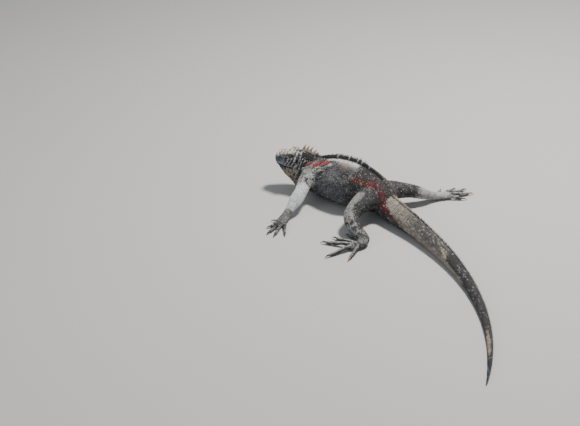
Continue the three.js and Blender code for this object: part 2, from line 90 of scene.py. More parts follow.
# share of the tail's length, half width, height above, depth below, lean
TAIL_STATIONS = [
    (0, 27, 29, 31, -5),
    (0.08, 22.5, 25, 26.5, -8),
    (0.18, 18, 21.5, 22.5, -12),
    (0.3, 14, 18, 18.5, -18),
    (0.42, 11, 14.5, 15, -26),
    (0.55, 8.5, 11.5, 12, -34),
    (0.68, 6.8, 8.8, 9.2, -42),
    (0.8, 5.4, 6.8, 7.2, -46),
    (0.9, 4, 4.8, 5, -48),
    (0.97, 2.4, 2.8, 2.8, -48),
    (1, 1.1, 1.2, 1.2, -48),
]
# Each limb from inside the trunk: x, y, z, half width, half thickness
LIMBS = {
    "arm_left": [
        (72, 20, 52, 20, 19), (68, 44, 51, 20, 18), (61, 68, 47, 16.5, 15),
        (52, 90, 40, 14.5, 13.5), (48, 112, 31, 14.5, 13), (46, 134, 20, 10, 8.5),
        (44, 150, 12, 10.5, 6.5), (40, 167, 8.5, 12, 6), (38, 176, 7, 9, 4.6),
    ],
    "arm_right": [
        (74, -12, 52, 20, 19), (68, -34, 51, 20, 18), (60, -58, 47, 16.5, 15),
        (54, -80, 41, 14.5, 13.5), (60, -96, 29, 14, 12.5), (70, -108, 17, 10, 8.5),
        (80, -117, 10, 10.5, 6.5), (93, -127, 7.5, 12, 6), (99, -132, 6.5, 9, 4.6),
    ],
    "leg_left": [
        (-88, 12, 46, 25, 23), (-88, 36, 46, 26, 22), (-88, 66, 43, 22, 19), (-91, 94, 35, 17, 16),
        (-106, 111, 26, 15, 14), (-128, 118, 18, 13, 11), (-147, 124, 12, 11.5, 8.5),
        (-152, 138, 9, 12, 7), (-143, 153, 7.5, 13, 6), (-138, 160, 6.5, 10, 4.8),
    ],
    "leg_right": [
        (-86, -10, 44, 24, 22), (-95, -32, 42, 24, 21), (-112, -54, 38, 20, 18),
        (-129, -74, 32, 16, 15), (-143, -92, 23, 14, 12.5), (-152, -110, 14, 11, 9.5),
        (-160, -125, 9.5, 11, 7.5), (-170, -141, 7.5, 12.5, 6), (-174, -147, 6.5, 9.5, 4.8),
    ],
}
# Each limb's digits: root x, y, tip x, y, radius
DIGITS = {
    "arm_left": [
        (45, 158, 68, 172, 3.6), (43, 170, 54, 202, 3.8), (39, 173, 36, 221, 3.9),
        (35, 172, 17, 220, 3.9), (32, 166, 0, 203, 3.6),
    ],
    "arm_right": [
        (90, -117, 111, -108, 3.6), (97, -125, 132, -131, 3.8), (98, -130, 134, -155, 3.9),
        (94, -133, 116, -170, 3.9), (87, -132, 95, -170, 3.6),
    ],
    "leg_left": [
        (-140, 130, -94, 120, 3.8), (-138, 145, -80, 147, 4.1), (-137, 154, -74, 178, 4.3),
        (-141, 160, -120, 220, 4.4), (-153, 152, -166, 203, 4.1),
    ],
    "leg_right": [
        (-154, -134, -140, -168, 3.8), (-164, -144, -165, -189, 4.1), (-170, -146, -187, -200, 4.3),
        (-175, -145, -211, -192, 4.4), (-175, -137, -214, -160, 4.1),
    ],
}
# The crest: places along the body, and the spines' height there
CREST_AT = [6, 6.4, 7.2, 8, 8.5, 9.6, 10.5, 12.5, 14, 15, 16.5, 18.5, 20.5, 22.5, 24, 25.5]
CREST_HEIGHT = [17, 20, 18, 12, 6.5, 9, 11, 11, 8.5, 6.5, 6.5, 6.5, 5.5, 4.2, 3, 2]
# The lip line in the head's own axes: forward, up
MOUTH_LINE = [(70, -2.5), (55, -3), (46, -6), (36, -9.5), (27, -12.5), (16, -13)]


# Small helpers
def unit(v):
    return v / np.maximum(np.linalg.norm(v, axis=-1, keepdims=True), 1e-12)


def step(x, low, high):
    """0 below low, 1 above high, smooth between."""
    s = np.clip((x - low) / (high - low), 0, 1)
    return s * s * (3 - 2 * s)


def band(x, low, high, soft):
    """1 from low to high, fading out over soft on both sides."""
    return step(x, low - soft, low) * (1 - step(x, high, high + soft))


def bell(x, middle, width):
    return np.exp(-(((x - middle) / width) ** 2))


def round_angles(count, shift=0):
    return 2 * math.pi * (np.arange(count) + shift) / count


def length_along(points):
    """How far along a run of points each one lies."""
    return np.concatenate([[0], np.cumsum(np.linalg.norm(np.diff(points, axis=0), axis=1))])


def stops_along(path, places, first, gap):
    """Places along a path, set apart by gap, which may depend on the place."""
    gone = length_along(path)
    stops, at = [], first
    while at < gone[-1]:
        stops.append(float(np.interp(at, gone, places)))
        at += gap(stops[-1]) if callable(gap) else gap
    return stops


def lattice(i, j, k, seed):
    """A fixed draw from 0 to 1 for each whole-number place."""
    n = i.astype(np.int64) * 374761393 + j.astype(np.int64) * 668265263
    n = (n + k.astype(np.int64) * 2147483647 + seed * 1274126177) & 0xFFFFFFFF
    n = ((n ^ (n >> 13)) * 1103515245) & 0xFFFFFFFF
    n = ((n ^ (n >> 16)) * 2246822519) & 0xFFFFFFFF
    return ((n ^ (n >> 15)) & 0xFFFFFF) / 0xFFFFFF


def noise(p, size, seed):
    """Smooth noise from 0 to 1, its features about size across."""
    q = p / size
    base = np.floor(q)
    f = q - base
    f = f * f * (3 - 2 * f)
    total = 0
    for corner in range(8):
        o = np.array([corner & 1, corner >> 1 & 1, corner >> 2 & 1])
        w = np.prod(np.where(o, f, 1 - f), axis=-1)
        c = base + o
        total = total + w * lattice(c[..., 0], c[..., 1], c[..., 2], seed)
    return total


def cloud(p, size, seed):
    """Noise of three sizes together, spread about 0.5."""
    made = noise(p, size, seed) + 0.5 * noise(p, size / 2, seed + 7) + 0.25 * noise(p, size / 4, seed + 13)
    return np.clip(0.5 + (made / 1.75 - 0.5) * 1.5, 0, 1)


def lay(under, colour, weight):
    weight = np.clip(weight, 0, 1)[:, None]
    return under * (1 - weight) + np.asarray(colour) * weight


# Shapes of the body
def tail_stations():
    steps = 300
    share = (np.arange(steps) + 0.5) / steps
    turn = np.radians(TAIL_START_TURN + TAIL_MORE_TURN * share**TAIL_TURN_POWER)
    x = TAIL_ROOT[0] - np.concatenate([[0], np.cumsum(np.cos(turn))]) * TAIL_LENGTH / steps
    y = TAIL_ROOT[1] + np.concatenate([[0], np.cumsum(np.sin(turn))]) * TAIL_LENGTH / steps
    made = []
    for s, wide, up, down, lean in TAIL_STATIONS:
        k = round(s * steps)
        a = math.radians(lean)
        reach = math.hypot(down * math.cos(a), wide * math.sin(a))
        made.append((x[k], y[k], reach - min(1.2, 0.12 * down), wide, up, down, 1.7, 2, lean))
    return made


BODY = np.array(BODY_STATIONS + tail_stations(), float)


def sample(stations, t):
    """Catmull-Rom values between stations."""
    t = np.atleast_1d(np.asarray(t, float))
    last = len(stations) - 1
    i = np.clip(np.floor(t).astype(int), 0, last - 1)
    f = (t - i)[:, None]
    a, b, c, d = (stations[np.clip(i + k, 0, last)] for k in (-1, 0, 1, 2))
    cubic = (3 * b - a - 3 * c + d) * f**3
    return 0.5 * (2 * b + (c - a) * f + (2 * a - 5 * b + 4 * c - d) * f**2 + cubic)


def axes_at(stations, t, lean=None):
    """Along the path, to its left, and up, turned by the lean."""
    t = np.atleast_1d(np.asarray(t, float))
    last = len(stations) - 1
    ahead = sample(stations, np.minimum(t + 0.02, last))[:, :3]
    along = unit(ahead - sample(stations, np.maximum(t - 0.02, 0))[:, :3])
    left = unit(np.cross(along, UP))
    top = unit(np.cross(left, along))
    if lean is not None:
        a = np.radians(lean)[:, None]
        left, top = left * np.cos(a) - top * np.sin(a), top * np.cos(a) + left * np.sin(a)
    return along, left, top


def rounded(v, n):
    return np.sign(v) * np.abs(v) ** (2 / n)


class Body:
    """Head, neck, trunk and tail as one tube. Angle 0 is the left side, 90 degrees the crest."""

    stations = BODY
    last = len(BODY) - 1

    @staticmethod
    def points(t, angle, extra=0.0):
        s = sample(BODY, t)
        _, left, top = axes_at(BODY, t, s[:, 8])
        upper = np.sin(angle) > 0
        n = np.where(upper, s[:, 6], s[:, 7])
        wide = np.maximum(s[:, 3] + extra, s[:, 3] * LEAST)
        high = np.where(upper, s[:, 4], s[:, 5])
        high = np.maximum(high + extra, high * LEAST)
        across = rounded(np.cos(angle), n) * wide
        rise = rounded(np.sin(angle), n) * high
        return s[:, :3] + left * across[:, None] + top * rise[:, None]


class Tube:
    """A limb, toe or claw along its stations. Angle 90 degrees is its top."""

    def __init__(self, stations):
        self.stations = np.asarray(stations, float)
        self.last = len(stations) - 1

    def points(self, t, angle, extra=0.0):
        s = sample(self.stations, t)
        _, left, top = axes_at(self.stations, t)
        wide = np.maximum(s[:, 3] + extra, s[:, 3] * LEAST) * np.cos(angle)
        high = np.maximum(s[:, -1] + extra, s[:, -1] * LEAST) * np.sin(angle)
        return s[:, :3] + left * wide[:, None] + top * high[:, None]


def digit_stages(root_x, root_y, tip_x, tip_y, radius):
    """Toe from its root to the start of the claw: x, y, z, radius, then the same for the claw."""
    reach = math.hypot(tip_x - root_x, tip_y - root_y)
    pad = 1 - 3.1 * radius / reach

    def on(share, height, r):
        return (root_x + (tip_x - root_x) * share, root_y + (tip_y - root_y) * share, height, r)

    toe = [
        on(0, radius * 1.7, radius * 1.15),
        on(pad * 0.3, radius * 1.75, radius * 1.02),
        on(pad * 0.46, radius * 1.5, radius * 0.9),
        on(pad * 0.62, radius * 1.2, radius * 0.97),
        on(pad * 0.76, radius * 0.98, radius * 0.84),
        on(pad * 0.88, radius * 0.84, radius * 0.95),
        on(pad, radius * 0.85, radius * 0.7),
        on(pad + 0.03, radius * 0.9, radius * 0.5),
    ]
    claw = [
        on(pad - 0.02, radius * 0.95, radius * 0.46),
        on(pad + (1 - pad) * 0.22, radius * 1.12, radius * 0.44),
        on(pad + (1 - pad) * 0.5, radius * 1.05, radius * 0.34),
        on(pad + (1 - pad) * 0.78, radius * 0.68, radius * 0.2),
        on(1, radius * 0.2, radius * 0.05),
    ]
    return np.array(toe), np.array(claw)


PARTS = {"body": Body()}
CLAWS = {}
for name, stations in LIMBS.items():
    PARTS[name] = Tube(stations)
    for k, digit in enumerate(DIGITS[name]):
        toe, claw = digit_stages(*digit)
        PARTS[f"{name}_toe_{k + 1}"] = Tube(toe)
        CLAWS[f"{name}_claw_{k + 1}"] = Tube(claw)
NAMES = list(PARTS)

# The head's own axes: forward from the back of the skull, left, up
HEAD_BACK = np.array([114, 11.4, 72.5])
HEAD_ALONG = unit(np.array([53, 25.5, -7.0]))
level = unit(np.cross(UP, HEAD_ALONG))
roll = math.radians(-HEAD_LEAN)
HEAD_LEFT = level * math.cos(roll) + np.cross(HEAD_ALONG, level) * math.sin(roll)
HEAD_TOP = unit(np.cross(HEAD_ALONG, HEAD_LEFT))
HEAD_AXES = np.array([HEAD_ALONG, HEAD_LEFT, HEAD_TOP])


def from_head(local):
    """Places on the body from places in the head's own axes."""
    return np.asarray(local) @ HEAD_AXES + HEAD_BACK


def head_coordinates(p):
    return (p - HEAD_BACK) @ HEAD_AXES.T


def lip_height(forward):
    return np.interp(forward, *np.array(MOUTH_LINE[::-1]).T)


# Mesh making
def mesh_object(name, verts, faces, colours=None, uvs=None):
    """An object from arrays in millimetres. faces is (n, 3)."""
    mesh = bpy.data.meshes.new(name)
    n, m = faces.shape
    mesh.vertices.add(len(verts))
    mesh.loops.add(n * m)
    mesh.loops.foreach_set("vertex_index", faces.astype(np.int32).ravel())
    mesh.polygons.add(n)
    mesh.polygons.foreach_set("loop_start", np.arange(0, n * m, m, dtype=np.int32))
    mesh.polygons.foreach_set("loop_total", np.full(n, m, dtype=np.int32))
    mesh.vertices.foreach_set("co", (verts * 0.001).astype(np.float32).ravel())
    mesh.update(calc_edges=True)
    mesh.validate()
    mesh.polygons.foreach_set("use_smooth", np.full(len(mesh.polygons), True))
    if colours is not None:
        paint(mesh, colours)
    if uvs is not None:
        layer = mesh.uv_layers.new(name="OFBake")
        corners = read(mesh.loops, "vertex_index", 1, np.int32).ravel()
        layer.data.foreach_set("uv", uvs[corners].astype(np.float32).ravel())
    made = bpy.data.objects.new(name, mesh)
    bpy.context.scene.collection.objects.link(made)
    return made


def paint(mesh, colours):
    layer = mesh.color_attributes.new(name="marks", type="FLOAT_COLOR", domain="POINT")
    rgba = np.ones((len(colours), 4), np.float32)
    rgba[:, :3] = colours
    layer.data.foreach_set("color", rgba.ravel())


def read(items, attribute, width, kind=np.float32):
    """One attribute of all items, width numbers for each."""
    values = np.empty(len(items) * width, kind)
    items.foreach_get(attribute, values)
    return values.reshape(-1, width)


def read_verts(mesh):
    return read(mesh.vertices, "co", 3).astype(float) * 1000


def write_verts(mesh, verts):
    mesh.vertices.foreach_set("co", (verts * 0.001).astype(np.float32).ravel())
    mesh.update()


class Joined:
    """Closed shells gathered into one mesh."""

    def __init__(self):
        self.lists = ([], [], [], [])
        self.count = 0

    def add(self, verts, faces, colours=None, uvs=None):
        for kept, new in zip(self.lists, (verts, faces + self.count, colours, uvs)):
            if new is not None:
                kept.append(new)
        self.count += len(verts)

    def make(self, name):
        return mesh_object(name, *(np.concatenate(kept) if kept else None for kept in self.lists))


def tube_faces(rings, sides, closed=False):
    """Triangles from each ring to the next, and from the last to the first if closed."""
    r, s = np.meshgrid(np.arange(rings - 1 + closed), np.arange(sides), indexing="ij")
    here, ahead, after = r * sides, (r + 1) % rings * sides, (s + 1) % sides
    quads = np.stack([here + s, here + after, ahead + after, ahead + s], -1).reshape(-1, 4)
    return np.concatenate([quads[:, [0, 1, 2]], quads[:, [0, 2, 3]]])


def outwards(verts, faces):
    """Turns a closed mesh's faces outwards."""
    a, b, c = (verts[faces[:, k]] for k in range(3))
    volume = np.einsum("ij,ij->i", a, np.cross(b, c)).sum()
    return faces if volume > 0 else faces[:, ::-1]


def closed_tube(points):
    """Verts and triangles of a tube over (rings, sides, 3) points, with a fan at both ends."""
    rings, sides, _ = points.shape
    verts = np.concatenate([points.reshape(-1, 3), points[:1].mean(1), points[-1:].mean(1)])
    ring = np.arange(sides)
    after = (ring + 1) % sides
    start = np.stack([np.full(sides, rings * sides), after, ring], -1)
    far = (rings - 1) * sides
    end = np.stack([np.full(sides, rings * sides + 1), far + ring, far + after], -1)
    return verts, outwards(verts, np.concatenate([tube_faces(rings, sides), start, end]))


def middle_line(part, places):
    across = part.points(places, np.full(len(places), math.pi))
    return 0.5 * (part.points(places, np.zeros(len(places))) + across)


def part_surface(part, pitch, sides, extra):
    """A form as rings of points, with the place and angle of each point."""
    places = np.linspace(0, part.last, 400)
    gone = length_along(middle_line(part, places))
    count = max(int(gone[-1] / pitch), 6)
    t = np.interp(np.linspace(0, gone[-1], count + 1), gone, places)
    tt, aa = (v.ravel() for v in np.meshgrid(t, round_angles(sides) - math.pi, indexing="ij"))
    return part.points(tt, aa, extra).reshape(len(t), sides, 3), tt, aa


def head_ball(centre, radii, sides=28):
    v = np.linspace(0.04, math.pi - 0.04, sides // 2)
    vv, uu = np.meshgrid(v, round_angles(sides), indexing="ij")
    ball = np.stack([np.cos(vv), np.sin(vv) * np.cos(uu), np.sin(vv) * np.sin(uu)], -1)
    return closed_tube(from_head(ball * np.array(radii) + np.array(centre)))


# One skin
def raw_skin():
    """All forms as closed shells, joined and remeshed into one surface."""
    shells = Joined()
    for name, part in PARTS.items():
        pitch, sides = (2.2, 96) if name == "body" else (2, 48)
        depth = TOE_SKIN_DEPTH if "toe" in name else SKIN_DEPTH
        shells.add(*closed_tube(part_surface(part, pitch, sides, -depth)[0]))
    ex, ey, ez = EYE_AT
    nx, ny, nz = NOSTRIL_AT
    for side in (1, -1):
        # Eye mound, brow, nostril mound and jowl
        shells.add(*head_ball((ex, side * (ey - 0.8), ez), (7.6, 6, 6.1)))
        shells.add(*head_ball((ex + 1.5, side * (ey - 2.6), ez + 5), (9.8, 3.8, 2.7)))
        shells.add(*head_ball((nx, side * (ny - 1.6), nz), (4.4, 3.4, 3.8)))
        shells.add(*head_ball((9, side * 18.8, -11), (14.2, 7, 14.2)))
    made = shells.make("skin")
    remesh = made.modifiers.new("join", "REMESH")
    remesh.mode = "VOXEL"
    remesh.voxel_size = VOXEL * 0.001
    bpy.context.view_layer.objects.active = made
    made.select_set(True)
    bpy.ops.object.modifier_apply(modifier=remesh.name)
    made.select_set(False)
    return made


def relax(verts, edges, weight, rounds):
    """Moves each point towards the middle of its neighbours, by its weight."""
    n = len(verts)
    degree = np.bincount(edges.ravel(), minlength=n).astype(float)
    for _ in range(rounds):
        around = np.zeros_like(verts)
        for k in range(3):
            around[:, k] = np.bincount(edges[:, 0], verts[edges[:, 1], k], n)
            around[:, k] += np.bincount(edges[:, 1], verts[edges[:, 0], k], n)
        around /= degree[:, None]
        verts = verts + (around - verts) * weight[:, None]
    return verts


def surface_finder():
    """A search tree over all the forms, for where on which form a point lies."""
    found = []
    for index, (name, part) in enumerate(PARTS.items()):
        pitch, sides = (2.6, 72) if name == "body" else (2.2, 36)
        points, t, angle = part_surface(part, pitch, sides, -SKIN_DEPTH)
        flat = points.reshape(-1, 3)
        found.append(np.column_stack([flat, np.full(len(flat), index), t, angle]))
    table = np.concatenate(found)
    tree = kdtree.KDTree(len(table))
    for k, row in enumerate(table):
        tree.insert(row[:3], k)
    tree.balance()
    return tree, table


FINDER, FINDER_TABLE = surface_finder()


def places_of(verts):
    """For each point: which form it is on, how far along it, and its angle round it."""
    index = np.fromiter((FINDER.find(v)[1] for v in verts.tolist()), np.int64, len(verts))
    rows = FINDER_TABLE[index]
    return rows[:, 3].astype(int), rows[:, 4], rows[:, 5]


def latitude(angle):
    """Degrees from the belly, -90, to the crest, 90, alike on both sides; and 1 on the left."""
    degrees = (np.degrees(angle) + 180) % 360 - 180
    left = np.abs(degrees) <= 90
    other = np.where(degrees > 0, 180 - degrees, -180 - degrees)
    return np.where(left, degrees, other), left


def neck_furrow(t, lat, p):
    """1 at the bottom of the slanting folds on neck and shoulder, 0 on their ridges."""
    turn = (t - lat * 0.0217) * 2.1 + cloud(p, 16, 41) * 0.9
    return 1 - np.abs(np.sin(math.pi * turn))


def oval(head, centre, size, least_side, inner, outer):
    """1 inside an oval on both sides of the head, 0 outside."""
    forward, side, up = head.T
    far = np.hypot((forward - centre[0]) / size[0], (up - centre[2]) / size[1])
    return (np.abs(side) > least_side) * (1 - step(far, inner, outer))


def carve_skin(skin):
    """Blends the limbs into the trunk, then presses in folds, mouth, nostrils, ears and sockets."""
    mesh = skin.data
    verts = read_verts(mesh)
    edges = read(mesh.edges, "vertices", 2, np.int32)
    verts = relax(verts, edges, np.full(len(verts), 0.5), 5)
    near_root = np.zeros(len(verts))
    for name in LIMBS:
        for centre in sample(PARTS[name].stations, [0.9, 1.4, 1.9])[:, :3]:
            far = np.linalg.norm(verts - centre, axis=1)
            near_root = np.maximum(near_root, 1 - step(far, 20, 44))
    verts = relax(verts, edges, near_root * 0.6, 90)
    write_verts(mesh, verts)
    which, t, angle = places_of(verts)
    lat, _ = latitude(angle)
    normal = read(mesh.vertex_normals, "vector", 3).astype(float)
    head = head_coordinates(verts)
    on_body = which == 0
    press = np.zeros(len(verts))

    # Loose folds of skin round the neck, over the shoulders, on the flanks and at the groin
    warp = cloud(verts, 18, 41) * 1.5
    furrow = neck_furrow(t, lat, verts)
    press += on_body * band(t, 6.9, 9.9, 0.8) * band(lat, -75, 58, 14) * step(furrow, 0.45, 1) * 2.3
    press += on_body * bell(t, 7.62, 0.14) * band(lat, 8, 72, 10) * 2.4
    shallow = 1 - np.abs(np.sin(math.pi * (lat * 0.045 + warp * 1.4 + t * 0.3)))
    press += on_body * band(t, 9.5, 15, 0.8) * band(lat, -60, 45, 15) * step(shallow, 0.6, 1) * 0.9
    across = 1 - np.abs(np.sin(math.pi * (t * 2.2 + warp * 0.8)))
    press += (which > 0) * band(t, 0.8, 5.2, 0.5) * step(across, 0.62, 1) * 0.8
    # Hollows behind the shoulder, before the thigh and beside the tail's root
    press += on_body * bell(t, 9.9, 0.5) * bell(lat, 18, 26) * 2.2
    press += on_body * bell(t, 13.0, 0.5) * bell(lat, 0, 30) * 2
    press += on_body * bell(t, 15.9, 0.6) * bell(lat, 10, 26) * 1.2
    press += (cloud(verts, 9, 5) - 0.5) * 0.7 * ~((which > 0) & (t > 5))
    press += (noise(verts, 3.2, 9) - 0.5) * 0.25

    # The lip line, nostrils, ears and eye sockets
    forward, _, up = head.T
    line = lip_height(forward)
    on_head = on_body & (forward > 14) & (up > -32)
    press += on_head * bell(up, line, 1.0) * step(forward, 14, 20) * 1.9
    press += on_head * bell(up, line - 5, 3) * band(forward, 20, 50, 8) * 0.6
    press += on_head * oval(head, NOSTRIL_HOLE, NOSTRIL_OPENING, NOSTRIL_AT[1] - 6, 0.6, 1.25) * 3
    press += on_body * oval(head, EAR_AT, EAR_OPENING, EAR_AT[1] - 8, 0.7, 1.15) * 1.8
    verts = verts - normal * press[:, None]
    push = on_body * oval(head, EYE_AT, EYE_OPENING, EYE_AT[1] - 5, 0.75, 1.05) * 6
    verts = verts - np.sign(head[:, 1:2]) * HEAD_LEFT * push[:, None]
    verts = relax(verts, edges, np.full(len(verts), 0.35), 1)
    verts[:, 2] = np.maximum(verts[:, 2], 0.05)
    write_verts(mesh, verts)
    mesh.polygons.foreach_set("use_smooth", np.full(len(mesh.polygons), True))


# Markings
CHARCOAL = np.array([0.036, 0.035, 0.038])
BLACK = np.array([0.012, 0.012, 0.014])
PALE = np.array([0.43, 0.43, 0.42])
WHITE = np.array([0.68, 0.67, 0.63])
CREAM = np.array([0.64, 0.54, 0.38])
ASH = np.array([0.125, 0.127, 0.133])
CHALK = np.array([0.70, 0.74, 0.755])
BUFF = np.array([0.44, 0.35, 0.26])
BLUE_GREY = np.array([0.13, 0.15, 0.185])
TAN = np.array([0.25, 0.22, 0.18])
RUST = np.array([0.12, 0.035, 0.022])
RED = np.array([0.36, 0.042, 0.056])
PINK = np.array([0.46, 0.25, 0.19])
SOOT = np.array([0.042, 0.038, 0.041])
NIGHT = np.array([0.020, 0.024, 0.036])
BELLY = np.array([0.085, 0.074, 0.064])
ORANGE = np.array([0.52, 0.20, 0.06])


class Paint:
    """Colours at places on a form, laid one over another."""

    def __init__(self, base, t, lat):
        self.colour, self.t, self.lat = base, t, lat

    def lay(self, tone, weight):
        self.colour = lay(self.colour, tone, weight)

    def patch(self, tone, at, size, rough, weight, edge=0.28):
        """A ragged blotch round a place on the body."""
        far = np.hypot((self.t - at[0]) / size[0], (self.lat - at[1]) / size[1])
        self.lay(tone, (1 - step(far + (rough - 0.5) * 1.3, 1 - edge, 1 + edge)) * weight)

    def streak(self, tone, start, end, reach, rough, weight, edge=0.3):
        """A ragged stroke between two places on the body, reach millimetres to each side."""
        scale = np.array([28, 0.85])  # millimetres for a step along the body and for a degree
        a = np.array(start) * scale
        run = np.array(end) * scale - a
        p = np.column_stack([self.t, self.lat]) * scale
        share = np.clip((p - a) @ run / (run @ run), 0, 1)
        far = np.linalg.norm(p - a - share[:, None] * run, axis=1) / reach
        self.lay(tone, (1 - step(far + (rough - 0.5) * 1.4, 1 - edge, 1 + edge)) * weight)


def body_marks(t, lat, left, p):
    wide, mid, fine = cloud(p, 17, 1), cloud(p, 7, 2), cloud(p, 3, 3)
    grain = noise(p, 1.7, 4)
    head = head_coordinates(p)
    hide = Paint(CHARCOAL * (0.6 + 0.9 * mid)[:, None], t, lat)
    hide.lay(ASH, step(wide * 0.6 + mid * 0.4, 0.5, 0.72) * 0.6 * band(lat, -30, 70, 20))
    # Painted sheen: a blue-grey streak on the lower front of the flank
    hide.streak(BLUE_GREY * 0.8, (9.6, 5), (11.5, -12), 20, wide, 0.25)
    hide.lay(BELLY, step(-lat, 40, 75) * 0.75 * (t < 16.5))
    hide.patch(ASH * (0.8 + 1.2 * fine)[:, None], (9.9, 18), (1.3, 34), mid, 0.75, 0.5)
    salt = step(grain * 0.5 + fine * 0.5, 0.6, 0.74)
    hide.lay(PALE, salt * 0.32 * band(t, 8.5, 16, 0.8))
    # Dark neck under the nape, mottled grey below
    hide.lay(BLACK, band(t, 6.2, 8.2, 0.4) * band(lat, 30, 90, 14) * 0.85)
    wave = head[:, 0] * 0.115 + head[:, 2] * 0.05 + wide * 0.9 + mid * 0.5
    spots = step((1 - np.abs(np.sin(math.pi * wave))) * 0.6 + fine * 0.5, 0.55, 0.75)
    hide.lay(WHITE * 0.85, band(t, 6, 7.45, 0.2) * band(lat, -62, 30, 14) * spots * 0.85)
    # Pale shoulder, its furrows darkened with painted shade, with red between the folds
    hide.patch(PALE * 0.8, (8.5, 10), (0.8, 42), mid, 0.75)
    hide.streak(PALE, (7.6, -5), (8.75, 48), 4.5, fine, 0.9)
    hide.streak(WHITE * 0.85, (8.9, 22), (10.4, 56), 4.5, mid, 0.75, 0.4)
    furrow = step(neck_furrow(t, lat, p), 0.6, 0.95)
    # Painted shade in the pressed furrows of the neck and shoulder folds
    hide.lay(CHARCOAL, furrow * band(t, 7.2, 9.8, 0.5) * band(lat, -50, 62, 12) * 0.75)
    hide.streak(RED, (7.9, 22), (8.35, 45), 3.8, mid, 0.9)
    hide.streak(RED * 1.1, (8.85, 42), (10.0, 65), 5.8, mid * 0.3 + fine * 0.7, 0.9)
    hide.streak(CHARCOAL, (9.4, 36), (10.3, 50), 2.2, fine, 0.6)
    reds = band(t, 7.4, 10.4, 0.2) * band(lat, 15, 72, 4)
    hide.lay(hide.colour * 0.35, reds * step(-grain, -0.42, -0.25))
    # Painted shade: black along the deep fold pressed across the neck
    hide.lay(BLACK, bell(t, 7.6, 0.12) * band(lat, 8, 72, 10) * 0.9)
    # White streak beside the crest, then a pink-beige one
    hide.streak(WHITE, (9.9, 76), (10.9, 78), 4, fine, 0.8, 0.4)
    hide.streak(WHITE, (10.8, 78), (12.15, 74), 7.8, fine * 1.4 - 0.2, 0.95, 0.4)
    hide.streak(ASH * 1.8, (11.2, 67), (12.4, 62), 4.5, fine * 1.3 - 0.15, 0.7, 0.4)
    hide.streak(PINK * 0.6, (11.2, 61), (11.8, 57), 4, fine * 1.4 - 0.1, 0.55, 0.5)
    hide.streak(ORANGE * 0.6, (12.35, 43), (12.5, 41), 1.6, fine, 0.5)
    # Rust at the groin and a red net beside the tail's root, whose upper part is on the left only
    net = step(1 - np.abs(noise(p, 5, 21) - 0.5) * 4.5, 0.3, 0.75)
    net = (0.1 + 0.8 * net) * (left | (lat < 28))
    hide.streak(RUST, (12.9, 38), (14.2, 46), 8, mid * 0.5 + fine * 0.5, 0.75, 0.45)
    hide.streak(RED * 0.9, (14.3, 50), (16.3, 34), 15, mid, net, 0.4)
    hide.streak(RED * 0.45, (15.6, 22), (17.4, -8), 9, mid, 0.7, 0.4)
    hide.lay(BLACK, (t > 12.4) * (t < 15.5) * step(lat, 56, 74) * 0.5)
    # The tail's colours start at a sharp border
    border = 15.35 + (90 - lat) / 60 * 1.0 + (fine - 0.5) * 0.25
    behind = step(t - border, 0, 0.12)
    hide.lay(tail_marks(t, lat, left, wide, mid, fine), behind)
    # Dark band along the root of the crest
    hide.lay(BLACK * 1.3, step(lat, 80, 85) * band(t, 8.5, 25, 1) * 0.85)
    hide.lay(head_marks(head, t, lat, wide, mid, fine), 1 - step(t, 6.1, 6.5))
    return hide.colour


def tail_marks(t, lat, left, wide, mid, fine):
    """Tan and mottled, then slate, a dark end, and a buff stripe on the left."""
    tail = Paint(TAN * (0.75 + 0.6 * mid)[:, None], t, lat)
    tail.lay(PALE * 0.85, step(fine, 0.5, 0.7) * 0.6)
    tail.lay(CREAM * 0.75, band(t, 15.6, 17.0, 0.5) * step(mid, 0.4, 0.7) * 0.55)
    grey = step(t + (mid - 0.5) * 0.9 + lat / 90, 17.5, 18.7) * step(lat, -12, 18)
    tail.lay(SOOT * 1.6, grey * (0.85 - 0.35 * step(fine, 0.5, 0.7)))
    rust = step(-lat, -8, 30) * band(t, 16, 18.2, 0.4) * step(wide, 0.3, 0.6)
    tail.lay(RUST * 1.3, rust * 0.75)
    tail.streak(CREAM * 0.85, (19.2, 40), (19.55, 0), 3.2, fine, 0.8, 0.4)
    dark = lay(SOOT * (0.65 + 0.8 * mid)[:, None], ASH, step(fine, 0.6, 0.8) * 0.45)
    dark = lay(dark, NIGHT * (0.8 + 0.8 * fine)[:, None], step(t, 22.8, 23.6))
    edge = t + (fine - 0.5) * 0.25 + np.abs(lat - 20) / 90 * 0.25 - 1.1 * step(-lat, 8, 24)
    tail.lay(dark, step(edge, 19.5, 19.75))
    tail.patch(BUFF, (23.2, 0), (0.5, 42), fine, left * 0.85, 0.3)
    return tail.colour


